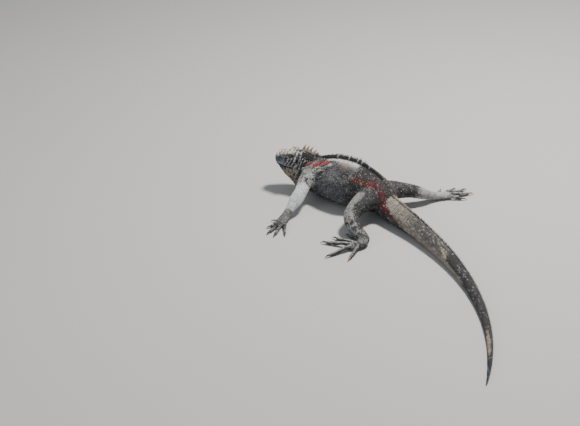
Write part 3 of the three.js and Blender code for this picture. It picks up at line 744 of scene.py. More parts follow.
def head_marks(head, t, lat, wide, mid, fine):
    """Crown cream, lips blue-grey, cheeks dark with pale streaks, lower jaw beige."""
    forward, side, up = head.T
    face = Paint(CHARCOAL * (0.5 + 0.8 * mid)[:, None], t, lat)
    wave = forward * 0.115 + up * 0.06 + wide * 0.9 + mid * 0.5
    bars = (1 - np.abs(np.sin(math.pi * wave))) * 0.62 + fine * 0.5
    cheek = 1 - step(forward, 38, 46)
    face.lay(PALE, step(bars, 0.48, 0.7) * cheek * 0.7)
    face.lay(WHITE, step(bars, 0.62, 0.8) * cheek * 0.9)
    low = step(-up, 2, 8)
    face.lay(CREAM * 0.9, step(fine * 0.6 + mid * 0.4, 0.54, 0.66) * cheek * low * 0.75)
    behind_lips = band(forward, 12, 19, 2.5) * band(up, -16, -2, 3)
    face.lay(BLACK, behind_lips * step(mid, 0.3, 0.5) * 0.6)
    muzzle = step(forward + (mid - 0.5) * 6, 29, 36)
    face.lay(BLUE_GREY * (0.7 + 0.9 * fine)[:, None], muzzle * band(up, -2, 12, 3) * 0.85)
    face.lay(BLUE_GREY * 2.6, band(up, -7.5, -1.5, 1.5) * step(forward, 34, 44) * 0.85)
    jaw = step(-up, 9, 15) * step(forward, 0, 12)
    face.lay(CREAM * 0.5, jaw * step(mid * 0.5 + fine * 0.5, 0.42, 0.6) * 0.8)
    # Painted shadow under the snout: black on the front of the lower jaw, below the upper lip
    face.lay(BLACK * 1.5, step(forward, 40, 48) * step(-up, 8.5, 11) * 0.75)
    face.lay(ORANGE * 0.6, step(-up, 24, 36) * step(fine, 0.5, 0.7) * 0.55)
    front = step(lat, 28, 44) * step(forward, 20, 28)
    rear = step(lat, 50, 64) * step(forward, 4, 12) * (1 - step(forward, 20, 28))
    nape = step(lat, 40, 60) * (1 - step(forward, 4, 12))
    ivory = WHITE * (1 - mid)[:, None] + CREAM * 1.15 * mid[:, None]
    face.lay(ivory, front * (0.5 + 0.5 * step(fine, 0.36, 0.5)))
    face.lay(WHITE * 0.85, rear * step(mid * 0.5 + fine * 0.5, 0.36, 0.55) * 0.9)
    face.lay(PALE * 0.8, nape * step(fine, 0.52, 0.7) * 0.8)
    brow = bell(np.hypot((forward - 19) / 9, (up - 20.5) / 4), 0, 1) * step(np.abs(side), 14, 18)
    face.lay(CREAM * 1.05, brow * step(fine, 0.35, 0.5) * 0.8)
    return face.colour


def limb_marks(name, t, angle, p):
    mid, fine = cloud(p, 7, 2), cloud(p, 3, 3)
    dark = CHARCOAL * (0.7 + 0.9 * mid)[:, None]
    even = step(fine, 0.35, 0.5)
    limb = Paint(dark, t, angle)
    if "toe" in name:
        if name.startswith("arm"):
            tone, share = (1.6, 0.6), step(mid, 0.4, 0.7) * 0.7
        elif name.startswith("leg_left"):
            tone, share = (1.3, 0.8), step(np.sin(angle) + (mid - 0.5), 0.55, 0.95) * 0.75
        else:
            tone, share = (1.6, 0.8), step(mid, 0.3, 0.6) * 0.75
        limb.colour = dark * tone[0]
        limb.lay(PALE * tone[1], share)
    elif name.startswith("arm"):
        limb.lay(PALE * 0.95, step(mid * 0.6 + fine * 0.4, 0.3, 0.46) * 0.9)
        limb.lay(CHALK, band(t, 2.5, 4.9, 0.4) * (0.8 + 0.2 * step(fine, 0.3, 0.5)))
        wrist = step(t + (fine - 0.5) * 0.8, 5.0, 5.5)
        limb.lay(PALE * 0.28, wrist * (0.6 + 0.4 * step(fine, 0.35, 0.6)))
    elif name == "leg_left":
        front = step(np.cos(angle) + (mid - 0.5) * 0.4, -0.3, -0.05)
        mottle = fine * 0.5 + mid * 0.5
        limb.lay(PALE * 0.75, band(t, 1.5, 3.4, 0.4) * front * (0.6 + 0.4 * even))
        limb.lay(PALE * 0.8, band(t, 3.2, 5.2, 0.4) * front * step(mottle, 0.42, 0.56) * 0.9)
        limb.lay(PALE * 0.6, step(t, 4.8, 5.6) * step(mottle, 0.42, 0.6) * 0.75)
    else:
        pale = step(t + (fine - 0.5) * 0.8, 3.1, 3.5)
        limb.lay(PALE, pale * (0.6 + 0.35 * step(mid, 0.3, 0.5)))
        limb.lay(ASH, band(t, 0.5, 2.8, 0.6) * step(mid, 0.5, 0.8) * 0.5)
    limb.lay(PALE, step(noise(p, 1.7, 4) * 0.5 + fine * 0.5, 0.6, 0.74) * 0.25)
    return limb.colour


def marks(which, t, angle, p):
    """Colours at places on the forms, for skin and scales alike."""
    colour = np.zeros((len(t), 3))
    lat, left = latitude(angle)
    for index in np.unique(which):
        at = which == index
        if index == 0:
            colour[at] = body_marks(t[at], lat[at], left[at], p[at])
        else:
            colour[at] = limb_marks(NAMES[index], t[at], angle[at], p[at])
    return colour


# Scales
ATLAS_PATCH = 0.003


def atlas_strips():
    """For each form its strip on the unwrap: low u, size u, low v, size v."""
    strips, limbs, toes = [(0.01, 0.98, 0.01, 0.43)], 0, 0
    for name in NAMES[1:]:
        if "toe" in name:
            strips.append((0.01 + toes * 0.049, 0.04, 0.72, 0.26))
            toes += 1
        else:
            strips.append((0.01 + limbs * 0.245, 0.225, 0.47, 0.23))
            limbs += 1
    return np.array(strips)


ATLAS = atlas_strips()
LASTS = np.array([part.last for part in PARTS.values()])


def atlas_place(which, t, angle):
    """Where a place on a form lies on the unwrap: the body in one strip, limbs and toes above."""
    low_u, size_u, low_v, size_v = ATLAS[which].T
    turn = (angle / (2 * math.pi)) % 1
    return np.column_stack([low_u + size_u * (t / LASTS[which]), low_v + size_v * turn])


def scale_shape(corners, inner, rise):
    """A low faceted dome: rim below the skin, shoulder ring, apex drawn back. x is backwards."""
    a = round_angles(corners) + math.pi / corners
    x, y = np.cos(a) * 0.56, np.sin(a) * 0.56
    rim = np.column_stack([x, y, np.full(corners, -0.45)])
    shoulder = np.column_stack([x * inner + 0.04, y * inner, np.full(corners, rise)])
    apex = np.array([[0.13, 0, 1.0]])
    k = np.arange(corners)
    n = (k + 1) % corners
    cap = np.column_stack([k + corners, n + corners, np.full(corners, 2 * corners)])
    return np.concatenate([rim, shoulder, apex]), np.concatenate([tube_faces(2, corners), cap])


def keeled_shape():
    """A tail plate: oblong, with a keel that rises towards its back end."""
    verts = np.array(
        [
            (-0.5, -0.5, -0.4), (-0.5, 0.5, -0.4), (0.5, 0.5, -0.4), (0.5, -0.5, -0.4),
            (-0.42, -0.42, 0.3), (-0.42, 0.42, 0.3), (0.46, 0.42, 0.5), (0.46, -0.42, 0.5),
            (-0.36, 0, 0.55), (0.52, 0, 1.0),
        ]
    )
    faces = np.array(
        [
            (0, 1, 5), (0, 5, 4), (1, 2, 6), (1, 6, 5), (2, 3, 7), (2, 7, 6), (3, 0, 4), (3, 4, 7),
            (4, 5, 8), (5, 6, 9), (5, 9, 8), (6, 7, 9), (7, 4, 8), (7, 8, 9),
        ]
    )
    return verts, faces[:, ::-1]


GRANULE = scale_shape(6, 0.66, 0.6)
PEBBLE = scale_shape(7, 0.74, 0.62)
CONE = scale_shape(6, 0.72, 0.42)
KEELED = keeled_shape()


class Surface:
    """The finished skin, for setting things on it."""

    def __init__(self, skin):
        mesh = skin.data
        mesh.calc_loop_triangles()
        tri = read(mesh.loop_triangles, "vertices", 3, np.int32)
        self.tree = BVHTree.FromPolygons(read_verts(mesh).tolist(), tri.tolist())

    def snap(self, points):
        """The nearest place on the skin to each point, its normal and how far it is."""
        place, out, far = np.empty_like(points), np.empty_like(points), np.empty(len(points))
        for k, p in enumerate(points.tolist()):
            place[k], out[k], _, far[k] = self.tree.find_nearest(p)
        return place, out, far

    def hit(self, origin, direction):
        """Where a ray first meets the skin, or None."""
        place = self.tree.ray_cast(Vector(origin), Vector(direction))[0]
        return None if place is None else np.array(place)

    def cast(self, points, direction):
        """Where rays from those points first meet the skin. One that misses keeps its start."""
        met = [self.hit(p, direction) for p in points]
        return np.array([p if place is None else place for place, p in zip(met, points)])


class Coat(Joined):
    """Scales on the skin, joined into one mesh."""

    def __init__(self, name, surface):
        super().__init__()
        self.name, self.surface = name, surface

    def stand(self, shape, root, back, out, size, which, t, angle, colour):
        """size is (n, 3): length, width and height of each."""
        form, tri = shape
        back = unit(back - out * (back * out).sum(1)[:, None])
        side = np.cross(out, back)
        x, y, z = (form[None, :, k, None] * size[:, None, k, None] for k in range(3))
        v = root[:, None] + back[:, None] * x + side[:, None] * y + out[:, None] * z
        v[..., 2] = np.maximum(v[..., 2], 0.02)
        first = np.arange(len(root)) * len(form)
        # Painted shade and light: each scale darker at its root and lighter towards its apex
        painted_shade_by_height = 0.62 + 0.55 * np.clip(form[:, 2], 0, 1)
        places = atlas_place(which, t, angle)[:, None] + form[None, :, :2] * ATLAS_PATCH
        self.add(
            v.reshape(-1, 3),
            (tri[None] + first[:, None, None]).reshape(-1, 3),
            (colour[:, None] * painted_shade_by_height[None, :, None]).reshape(-1, 3),
            places.reshape(-1, 2),
        )

    def cover(self, index, start, end, gaps, size, shape, seeds, only=None, limit=2.2):
        """Rows of scales on a stretch of a form. gaps are the pitches in and between rows."""
        t, angle = rows_over(index, start, end, *gaps, seeds[0], only)
        self.lay(index, t, angle, size(t) if callable(size) else size, shape, seeds[1], limit)

    def lay(self, index, t, angle, size, shape, seed, limit=2.2):
        """Sets scales on the skin at those places of a form, where the form is the outer one."""
        part = PARTS[NAMES[index]]
        points = part.points(t, angle, -SKIN_DEPTH)
        ahead = part.points(np.minimum(t + 0.03, part.last), angle, -SKIN_DEPTH)
        back = unit(ahead - part.points(np.maximum(t - 0.03, 0), angle, -SKIN_DEPTH))
        place, out, far = self.surface.snap(points)
        from_middle = unit(points - sample(part.stations, t)[:, :3])
        keep = (far < limit) & (place[:, 2] > 0.5) & ((out * from_middle).sum(1) > 0.1)
        rng = np.random.default_rng(seed)
        n = keep.sum()
        grow = rng.uniform(0.88, 1.1, (n, 1))
        size = np.column_stack([np.broadcast_to(v, len(t))[keep] for v in size]) * grow
        place, back, out, t, angle = (v[keep] for v in (place, back, out, t, angle))
        which = np.full(n, index)
        colour = marks(which, t, angle, place) * rng.uniform(0.7, 1.3, (n, 1))
        colour = lay(colour, PALE, (rng.uniform(size=n) < PALE_SPECKS) * rng.uniform(0.3, 0.9, n))
        self.stand(shape, place, back, out, size, which, t, angle, colour)


def rows_over(index, start, end, pitch, row_pitch, seed, only=None):
    """Staggered places in rows round a form: t and angle of each, evenly spaced on its surface."""
    part = PARTS[NAMES[index]]
    places = np.linspace(start, end, 300)
    stops = stops_along(middle_line(part, places), places, 0.3, row_pitch)
    rng = np.random.default_rng(seed)
    dense = np.linspace(-math.pi, math.pi, 241)
    all_t, all_a = [], []
    for k, t in enumerate(stops):
        run = length_along(part.points(np.full(len(dense), t), dense))
        gap = pitch(t) if callable(pitch) else pitch
        count = max(int(run[-1] / gap), 5)
        places = (np.arange(count) + 0.5 * (k % 2) + rng.uniform(-0.12, 0.12, count)) / count
        all_a.append(np.interp(places * run[-1] % run[-1], run, dense))
        all_t.append(np.full(count, t) + rng.uniform(-0.1, 0.1, count) * 0.05)
    t, angle = np.clip(np.concatenate(all_t), 0, part.last), np.concatenate(all_a)
    keep = np.full(len(t), True) if only is None else only(t, angle)
    return t[keep], angle[keep]


def keep_off_eye(t, angle):
    forward, side, up = head_coordinates(Body.points(t, angle, -SKIN_DEPTH)).T
    ex, _, ez = EYE_AT
    return (np.hypot((forward - ex) / 10.2, (up - ez) / 6.9) > 1) | (np.abs(side) < 16.5)


def keep_off_face(t, angle):
    """Leaves eyes, nostrils, ears, crown and lips to scales of their own."""
    forward, side, up = head_coordinates(Body.points(t, angle, -SKIN_DEPTH)).T
    side = np.abs(side)
    crown = (t > 2) & (t < 6) & (latitude(angle)[0] > 39)
    nx, _, nz = NOSTRIL_HOLE
    nostril = (np.hypot(forward - nx, up - nz) < 3.4) & (side > 6)
    ax, _, az = EAR_AT
    ear = (np.hypot((forward - ax) / 4, (up - az) / 5.2) < 1) & (side > 12)
    lips = (forward > 15) & (np.abs(up - lip_height(forward)) < 3.6)
    return keep_off_eye(t, angle) & ~(nostril | ear | crown | lips)


def tail_plate(t):
    """Width of the tail's plates, smaller towards its tip."""
    return np.maximum(3.7 - (t - 16) * 0.2, 1.8)


def make_coats(surface):
    coats = []

    def coat(name):
        coats.append(Coat(name, surface))
        return coats[-1]

    # Head: round pebbles, lower at the snout, cones on the crown and larger ones on the jaws
    def pebbles(t):
        return 2.3, 2.35, 0.9 * np.interp(t, [0.6, 1.8], [0.1, 1])

    def cones(t):
        return 4.9, 4.7, 2.0 + 0.4 * np.sin(t * 9)

    def crown(t, a):
        return (latitude(a)[0] > 40) & keep_off_eye(t, a)

    def jaws(t, a):
        return (latitude(a)[0] < 0) & keep_off_face(t, a)

    def below_crest(_, a):
        return latitude(a)[0] < 72

    c = coat("scales_head")
    c.cover(0, 0.6, NECK_START, (2.3, 2.05), pebbles, PEBBLE, (1, 2), keep_off_face, 5)
    c.cover(0, 1.9, 6.2, (4.0, 3.6), cones, CONE, (3, 4), crown, 6)
    c.cover(0, 3.0, 6.4, (7.5, 6.8), (3.6, 3.6, 1.9), CONE, (5, 6), jaws)
    c = coat("scales_neck")
    c.cover(0, NECK_START, TRUNK_START, (2.35, 2.1), (2.35, 2.35, 0.8), GRANULE, (7, 8))
    c.cover(0, NECK_START, 7.7, (8.2, 7.4), (3.8, 3.4, 2.2), CONE, (9, 10), below_crest)

    # Trunk: small grains
    c = coat("scales_trunk_front")
    c.cover(0, TRUNK_START, TRUNK_MIDDLE, (2.35, 2.1), (2.45, 2.35, 0.75), GRANULE, (11, 12))
    c = coat("scales_trunk_rear")
    c.cover(0, TRUNK_MIDDLE, TAIL_START, (2.4, 2.15), (2.5, 2.4, 0.75), GRANULE, (13, 14))

    # Tail: keeled plates in rings
    def plates(t):
        return tail_plate(t) * 1.25, tail_plate(t), 0.5 + 0.13 * tail_plate(t)

    gaps = (tail_plate, lambda t: max(4.3 - (t - 16) * 0.2, 2.4))
    coat("scales_tail").cover(0, TAIL_START, TAIL_END, gaps, plates, KEELED, (15, 16))

    # Legs, feet and toes, with cross scutes along the top of each toe
    def beside_scutes(_, a):
        return (a < 0.5) | (a > 2.64)

    for name in LIMBS:
        c = coat(f"scales_{name}")
        index = NAMES.index(name)
        seeds = (20 + index, 40 + index)
        last = PARTS[name].last
        c.cover(index, 0.6, last, (2.6, 2.35), (2.75, 2.6, 0.8), GRANULE, seeds, None, 3.4)
        for toe in range(index + 1, index + 1 + len(DIGITS[name])):
            seeds = (60 + toe, 80 + toe)
            stop = PARTS[NAMES[toe]].last - 0.5
            c.cover(toe, 0.2, stop, (2.2, 2.1), (2.2, 2.2, 0.55), GRANULE, seeds, beside_scutes)
            t = np.unique(rows_over(toe, 0.2, stop, 2.2, 2.1, 60 + toe)[0].round(1))
            middle = np.full(len(t), math.pi / 2)
            c.lay(toe, t, middle, (2.5, 5.2, 0.7), KEELED, 100 + toe)
    return [c.make(c.name) for c in coats]


# Crest spines
SPINE_PLACES, SPINE_GAPS = [6, 8, 9, 14, 16, 20, 25], [6.4, 5.2, 3.6, 3.7, 4.4, 4.8, 4.2]
SPINE_SIZES = np.array([1.25, 1.1, 0.98, 0.86, 0.73, 0.58, 0.42, 0.25, 0.07])
SPINE_SIDES = 10
SPINE_SUNK = 2.2
CREST_ENDS = (6.05, 25.4)


def crest_spines():
    rng = np.random.default_rng(77)
    places = np.linspace(*CREST_ENDS, 2000)
    path = sample(BODY, places)[:, :3]
    crest = Joined()
    rings = len(SPINE_SIZES)
    h = np.linspace(0, 1, rings)
    a = round_angles(SPINE_SIDES)
    for t in stops_along(path, places, 1.0, lambda t: np.interp(t, SPINE_PLACES, SPINE_GAPS)):
        s = sample(BODY, t)[0]
        along, left, top = (v[0] for v in axes_at(BODY, t, s[8:9]))
        height = float(np.interp(t, CREST_AT, CREST_HEIGHT)) * rng.uniform(0.84, 1.08)
        height *= 1 + 0.2 * float(band(t, 9.4, 12.6, 0.5))
        thick = (1.7 + height * 0.08) * 0.5 * SPINE_SIZES[:, None]
        long = (3.8 + height * 0.2) * 0.5 * SPINE_SIZES[:, None]
        root = s[:3] + top * (s[4] - SKIN_DEPTH)
        lean = rng.uniform(-0.05, 0.05) * height
        rise = -SPINE_SUNK + (height + SPINE_SUNK) * h
        back = height * 0.3 * h**1.8
        ring = (
            root
            + top * rise[:, None, None]
            + along * (back[:, None] + np.cos(a) * long)[..., None]
            + left * (lean * h[:, None] + np.sin(a) * thick)[..., None]
        )
        middle = atlas_place(np.zeros(1, int), np.array([t]), np.array([math.pi / 2]))
        spread = np.repeat(h - 0.5, SPINE_SIDES) * 2
        shift = np.column_stack([np.tile(np.cos(a), rings), spread]) * ATLAS_PATCH / 2
        uvs = middle + np.concatenate([shift, np.zeros((2, 2))])
        crest.add(*closed_tube(ring), spine_colour(t, h, rng), uvs)
    return crest.make("crest")


def spine_colour(t, h, rng):
    """Cream with a warm root at the nape, dark on the back, paler where the tail begins."""
    pale = rng.uniform() < 0.05 or 12.0 < t < 12.15 or 12.3 < t < 12.45
    base, end = (WHITE * 0.9, CREAM * 1.25) if t < 7.9 else (BLACK * 1.6, ASH * 0.5)
    if 7.9 <= t < 9.0:
        base, end = BLACK * 1.5, CREAM * 0.6
    if pale and t > 9:
        base, end = ASH, WHITE
    if 14.6 < t < 19.3:
        base, end = (ASH * 0.8, CREAM * 0.9) if rng.uniform() < 0.6 else (BLACK * 2, ASH)
    if t > 19.3:
        base, end = NIGHT, ASH * 0.7
    warm = 0.9 if t < 8.0 and rng.uniform() < 0.7 else 0.0
    mix = step(h, 0.1, 0.8)[:, None]
    ring = lay(base * (1 - mix) + end * mix, ORANGE, bell(h, 0.42, 0.2) * warm)
    ring = ring * rng.uniform(0.85, 1.12)
    return np.concatenate([np.repeat(ring, SPINE_SIDES, axis=0), ring[:1], ring[-1:]])


# Face
def loop_tube(path, radius, sides=8):
    """A tube along a run of points, closed on itself."""
    along = unit(np.roll(path, -1, 0) - np.roll(path, 1, 0))
    radius = np.broadcast_to(radius, len(path))[:, None]
    side = unit(np.cross(along, np.broadcast_to(HEAD_LEFT, along.shape)))
    other = np.cross(along, side)
    a = round_angles(sides)
    ring = (
        path[:, None]
        + side[:, None] * (np.cos(a) * radius)[..., None]
        + other[:, None] * (np.sin(a) * radius)[..., None]
    )
    verts = ring.reshape(-1, 3)
    return verts, outwards(verts, tube_faces(len(path), sides, closed=True))


def eye_rim(side, count=40):
    """Points round the eye's opening, on a ball a little larger than the eye."""
    a = round_angles(count)
    forward = np.cos(a) * 4.5
    up = np.sin(a) * np.where(np.sin(a) > 0, 2.5, 2.2) - 0.1
    out = np.sqrt(np.maximum((EYE_RADIUS + 0.35) ** 2 - forward**2 - up**2, 1))
    ex, ey, ez = EYE_AT
    return from_head(np.column_stack([ex + forward, side * (ey + out), ez + up])), a


def make_eye(side):
    """Eyeball with iris and pupil painted by angle from its axis, looking out and a little ahead."""
    n, m = 40, 48
    look = unit(np.array([0.28, side * 1.0, 0.06]))
    aside = unit(np.cross(look, [0, 0, 1.0]))
    above = np.cross(aside, look)
    v, u = np.linspace(0.02, math.pi - 0.02, n), round_angles(m)
    vv, uu = (g[..., None] for g in np.meshgrid(v, u, indexing="ij"))
    ball = look * np.cos(vv) + (aside * np.cos(uu) + above * np.sin(uu)) * np.sin(vv)
    bulge = 1 + 0.035 * (1 - step(vv, 0.3, 0.75))
    centre = np.array([EYE_AT[0], side * EYE_AT[1], EYE_AT[2]])
    verts, faces = closed_tube(from_head(ball * EYE_RADIUS * bulge * 0.985 + centre))
    turn, spin = np.repeat(v, m), np.tile(u, n)
    rays = 0.75 + 0.25 * np.sin(spin * 23 + np.sin(spin * 7) * 2)
    colour = np.array([0.16, 0.075, 0.03]) * rays[:, None]
    colour = lay(colour, [0.32, 0.2, 0.1], bell(turn, 0.36, 0.05) * 0.6)
    colour = lay(colour, [0.004, 0.004, 0.004], 1 - step(turn, 0.26, 0.31))
    colour = lay(colour, [0.02, 0.014, 0.012], step(turn, 0.62, 0.72))
    colour = np.concatenate([colour, colour[:1], colour[-1:]])
    return mesh_object(f"eye_{'left' if side > 0 else 'right'}_ball", verts, faces, colour)


def make_lids():
    """Lid edges and nostril rims."""
    rims = Joined()

    def put(path, radius, tone):
        verts, faces = loop_tube(path, radius)
        rims.add(verts, faces, tone * (0.75 + 0.5 * cloud(verts, 2.5, 31))[:, None])

    nx, ny, nz = NOSTRIL_HOLE
    for side in (1, -1):
        path, a = eye_rim(side)
        put(path, 0.5 + 0.12 * np.sin(a), BLACK * 1.5)
        a = round_angles(24)
        out = side * (ny + 1.0) - side * np.abs(np.cos(a)) * 0.35
        path = from_head(np.column_stack([nx + np.cos(a) * 2.1, out, nz + np.sin(a) * 1.7]))
        put(path, 0.42, BLUE_GREY * 0.45)
    return rims.make("lids")


EYE_RINGS = [(1.3, 1.15, 28), (1.6, 1.5, 25), (1.98, 1.9, 25), (2.42, 2.2, 26), (2.9, 2.4, 28)]
# Rings of scales: middle forward and up, half width, half height, count, size, tone
HOLE_RINGS = [
    (NOSTRIL_AT[0] + 0.6, NOSTRIL_AT[2], 3.1, 2.7, 13, 1.6, BLUE_GREY * 0.7),
    (EAR_AT[0] + 0.6, EAR_AT[2], 4.6, 6.0, 19, 1.9, ASH * 1.2),
]
# Rows of lip plates: height above the lip line, length, width, tone
LIP_ROWS = [
    (2.0, 2.7, 2.9, BLUE_GREY * 2.2),
    (-2.0, 2.8, 2.8, BLACK * 2),
    (-4.9, 3.0, 2.9, CHARCOAL * 1.5),
]
CHIN_KNOBS = [(47, 5, -34), (40, 9, -38), (34, 4, -46), (44, -7, -35)]


def lip_points(surface, shift):
    """Where rays from inside the head, at a height over the lip line, meet the skin."""
    points = []
    for turn in np.radians(np.arange(-128, 129, 3.6)):
        way = np.array([math.cos(turn), math.sin(turn), 0]) @ HEAD_AXES
        up, found = -9.0, None
        for _ in range(4):
            place = surface.hit(from_head([30, 0, up + shift]), way)
            if place is None:
                break
            found = place
            up = float(lip_height(head_coordinates(place)[0]))
        if found is not None and head_coordinates(found)[0] > 15:
            points.append(found)
    return np.array(points)


def face_scales(surface):
    """Scales round the eyes, nostrils and ears, on the brows, along the mouth and on the chin."""
    coat = Coat("scales_face", surface)

    def place(points, outward, back, size, seed, colour):
        root, out, _ = surface.snap(points)
        out = unit(out + outward * 0.6)
        rng = np.random.default_rng(seed)
        tone = np.asarray(colour) * rng.uniform(0.8, 1.15, (len(root), 1))
        grow = rng.uniform(0.9, 1.1, (len(root), 1))
        back = np.broadcast_to(back, root.shape)
        coat.stand(PEBBLE, root, back, out, np.array(size) * grow, *places_of(root), tone)

    def ring_on(side, forward, up, wide, high, count, shift=0):
        """Places on an oval on the head's side, and the way out from its middle at each."""
        a = round_angles(count, shift)
        x, z = np.cos(a), np.sin(a)
        oval = np.column_stack([forward + x * wide, np.full(count, side * 40.0), up + z * high])
        radial = unit(np.column_stack([x, np.zeros(count), z]) @ HEAD_AXES)
        return surface.cast(from_head(oval), -side * HEAD_LEFT), radial, z

    for side in (1, -1):
        outward = side * HEAD_LEFT
        for ring, (grow, size, count) in enumerate(EYE_RINGS):
            spot = (EYE_AT[0], EYE_AT[2], 3.9 * grow, 2.6 * grow, count, 0.5 * (ring % 2))
            points, radial, rise = ring_on(side, *spot)
            above = step(rise, 0.1, 0.7)[:, None] * min(0.4 + 0.25 * ring, 1)
            rng = np.random.default_rng(240 + ring)
            above = above * (rng.uniform(size=(count, 1)) < 0.72)
            light = np.where(rng.uniform(size=(count, 1)) < 0.5, WHITE, CREAM * 1.1)
            under = np.where(rng.uniform(size=(count, 1)) < 0.3, PALE, CHARCOAL * 1.1)
            colour = under * (1 - above) + light * above
            scale = (size, size * 1.05, 0.35 + size * 0.3)
            place(points, outward, radial, scale, 200 + ring, colour)
        # The brow's top and inner side
        spots = [(f, s) for f in np.arange(5, 31, 2.2) for s in np.arange(12, 25, 2.1)]
        local = [(f + (k % 2) * 0.9, side * s, 60) for k, (f, s) in enumerate(spots)]
        points = surface.cast(from_head(local), -HEAD_TOP)
        forward, _, up = head_coordinates(points).T
        points = points[(up > 17.5) & (np.abs(forward - 18.5) < 12.5)]
        rng = np.random.default_rng(250)
        front = (points @ HEAD_ALONG > HEAD_BACK @ HEAD_ALONG + 12)[:, None]
        tone = np.where(front, CREAM, PALE * 0.8)
        tone = np.where(rng.uniform(size=(len(points), 1)) < 0.28, CHARCOAL, tone)
        place(points, HEAD_TOP * 0.3, -HEAD_ALONG, (2.5, 2.4, 0.9), 230, tone)
        for *spot, size, tone in HOLE_RINGS:
            points, radial, _ = ring_on(side, *spot)
            place(points, outward, radial, (size, size * 1.05, 0.9), 220, tone)

    for row, (shift, length, high, tone) in enumerate(LIP_ROWS):
        run = lip_points(surface, shift)
        gone = length_along(run)
        at = np.arange(1, gone[-1], length)
        even = np.column_stack([np.interp(at, gone, run[:, k]) for k in range(3)])
        out = unit(even - from_head([28, 0, -9]))
        size = (length * 1.02, high, 0.8)
        place(even, out, unit(np.gradient(even, axis=0)), size, 300 + row, tone)
    place(from_head(CHIN_KNOBS), -HEAD_TOP, -HEAD_ALONG, (3.2, 3.2, 2), 400, WHITE)
    return coat.make(coat.name)


PALE_CLAWS = ("leg_left_claw_5", "leg_right_claw_4")
PALE_HORN, DARK_HORN = np.array([0.22, 0.15, 0.09]), np.array([0.028, 0.024, 0.022])


def make_claws():
    claws = Joined()
    for name, tube in CLAWS.items():
        points, t, _ = part_surface(tube, 0.6, 14, 0.0)
        verts, faces = closed_tube(points)
        verts[:, 2] = np.maximum(verts[:, 2], 0.05)
        tone = PALE_HORN if name in PALE_CLAWS else DARK_HORN
        share = np.concatenate([t, [0, tube.last]]) / tube.last
        shaded = tone * (0.8 + 0.5 * cloud(verts, 2, 61))[:, None]
        claws.add(verts, faces, lay(shaded, tone * 2.6 + 0.02, bell(share, 0.1, 0.12) * 0.6))
    return claws.make("claws")


# Materials
class Material:
    """A material with its shader. Inputs are named with underscores for spaces."""

    def __init__(self, name):
        self.made = bpy.data.materials.new(name)
        self.made.use_nodes = True
        self.tree = self.made.node_tree
        self.shader = self.tree.nodes["Principled BSDF"]

    def fill(self, node, **inputs):
        """Sets each input to a value or links an output to it."""
        for name, value in inputs.items():
            socket = node.inputs[name.replace("_", " ")]
            if isinstance(value, bpy.types.NodeSocket):
                self.tree.links.new(value, socket)
            else:
                socket.default_value = value
        return node

    def add(self, kind, **inputs):
        return self.fill(self.tree.nodes.new(kind), **inputs)


def material(name, rough, bump, grain, contrast, coat=0.0, specular=0.5):
    """Painted marks, broken up by fine noise, with roughness and bump of their own."""
    made = Material(name)
    where = made.add("ShaderNodeTexCoord").outputs["Object"]
    painted = made.add("ShaderNodeVertexColor")
    painted.layer_name = "marks"
    fine = made.add("ShaderNodeTexNoise", Scale=grain, Detail=5, Vector=where).outputs["Fac"]
    tone = made.add(
        "ShaderNodeMapRange", To_Min=1 - contrast, To_Max=1 + contrast, Value=fine
    )
    mix = made.add("ShaderNodeVectorMath")
    mix.operation = "SCALE"
    made.fill(mix, Vector=painted.outputs["Color"], Scale=tone.outputs["Result"])
    sheen = made.add(
        "ShaderNodeMapRange", To_Min=rough - 0.13, To_Max=min(rough + 0.13, 1), Value=fine
    )
    cells = made.add("ShaderNodeTexVoronoi", Scale=grain * 0.8, Vector=where)
    depth = cells.outputs["Distance"]
    relief = made.add("ShaderNodeBump", Strength=bump, Distance=0.0005, Height=depth)
    made.fill(
        made.shader,
        Specular_IOR_Level=specular,
        Coat_Weight=coat,
        Coat_Roughness=0.05,
        Base_Color=mix.outputs["Vector"],
        Roughness=sheen.outputs["Result"],
        Normal=relief.outputs["Normal"],
    )
    return made.made


def floor_material(name, colour, rough, grain, contrast):
    made = Material(name)
    where = made.add("ShaderNodeTexCoord").outputs["Object"]
    fine = made.add("ShaderNodeTexNoise", Scale=grain, Detail=6, Vector=where)
    mix = made.add("ShaderNodeMix")
    mix.data_type = "RGBA"
    low, high = ((*[c * share for c in colour], 1) for share in (1 - contrast, 1 + contrast))
    made.fill(mix, A=low, B=high, Factor=fine.outputs["Fac"])
    made.fill(made.shader, Roughness=rough, Base_Color=mix.outputs["Result"])
    return made.made


# Putting it together
skin = raw_skin()
carve_skin(skin)
skin_verts = read_verts(skin.data)
which, along_t, round_a = places_of(skin_verts)
SCALE_GAP_PAINTED_SHADE = 0.5  # painted shade in the gaps: the skin between the scales is darker than they are
paint(skin.data, marks(which, along_t, round_a, skin_verts) * SCALE_GAP_PAINTED_SHADE)
surface = Surface(skin)
coats = make_coats(surface)
coats.append(face_scales(surface))
crest = crest_spines()
lids = make_lids()
claws = make_claws()
eyes = {"eye_left": make_eye(1), "eye_right": make_eye(-1)}

skin.data.materials.append(material("hide", 0.72, 0.5, 900, 0.3))
hide_scale = material("scale", 0.6, 0.25, 1600, 0.25, specular=0.45)
for piece in coats:
    piece.data.materials.append(hide_scale)
crest.data.materials.append(material("horn_spine", 0.5, 0.3, 1200, 0.3))
lids.data.materials.append(material("lid_skin", 0.55, 0.4, 1500, 0.3))
claws.data.materials.append(material("claw_horn", 0.32, 0.2, 700, 0.3, coat=0.25))
eye_gloss = material("eye_wet", 0.14, 0.0, 400, 0.12, coat=1.0)
for ball in eyes.values():
    ball.data.materials.append(eye_gloss)

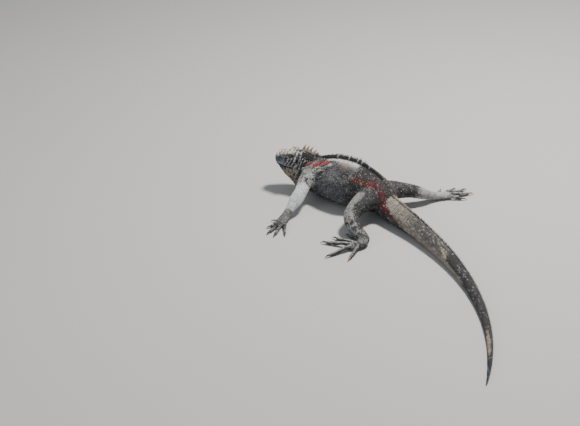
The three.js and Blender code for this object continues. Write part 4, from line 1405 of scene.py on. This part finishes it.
FLESH = [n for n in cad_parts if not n.startswith("eye")]
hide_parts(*FLESH)
for piece in [skin, *coats, crest, lids, claws, *eyes.values()]:
    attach(piece, "root")
for node, ball in eyes.items():
    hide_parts(node)
for piece in [*coats, crest]:
    name = piece.name
    if "tail" in name:
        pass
    elif "head" in name or "face" in name:
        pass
    elif "arm" in name or "leg" in name:
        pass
    else:
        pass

# Floor, light and camera
bpy.ops.mesh.primitive_plane_add(size=12, location=(0, 0, -0.0005))
floor = bpy.context.active_object
floor.name = "floor"
floor.data.materials.append(floor_material("pale_floor", (0.5, 0.495, 0.485), 0.8, 3, 0.02))

world = bpy.data.worlds.new("soft")
bpy.context.scene.world = world
world.use_nodes = True
world.node_tree.nodes["Background"].inputs["Color"].default_value = (0.9, 0.95, 1, 1)
world.node_tree.nodes["Background"].inputs["Strength"].default_value = 0.34


def area_light(name, place, aim, size, watts, colour):
    data = bpy.data.lights.new(name, "AREA")
    data.shape = "DISK"
    data.size = size
    data.energy = watts
    data.color = colour
    lamp = bpy.data.objects.new(name, data)
    lamp.location = place
    lamp.rotation_euler = (Vector(aim) - Vector(place)).to_track_quat("-Z", "Y").to_euler()
    bpy.context.scene.collection.objects.link(lamp)


area_light("key", (-0.35, -0.75, 2.2), (-0.1, 0.05, 0.03), 0.4, 90, (1, 0.965, 0.9))
area_light("fill", (0.3, 2.4, 1.2), (-0.15, 0.05, 0.03), 1.8, 12, (0.88, 0.94, 1))

camera_data = bpy.data.cameras.new("camera")
camera = bpy.data.objects.new("camera", camera_data)
bpy.context.scene.collection.objects.link(camera)
bpy.context.scene.camera = camera
PICTURE_WIDTH = 580
RISE, TURN = math.radians(29), math.radians(37)
towards = Vector(
    (-math.sin(TURN) * math.cos(RISE), math.cos(TURN) * math.cos(RISE), math.sin(RISE))
)
CAMERA_AIM, CAMERA_FAR = Vector((-0.09, 0, 0)), 2.5
camera.location = CAMERA_AIM + towards * CAMERA_FAR
camera.rotation_euler = (-towards).to_track_quat("-Z", "Y").to_euler()
camera_data.sensor_width = 36
camera_data.lens = 71.8
camera_data.shift_x = -88.3 / PICTURE_WIDTH
camera_data.shift_y = -1 / PICTURE_WIDTH
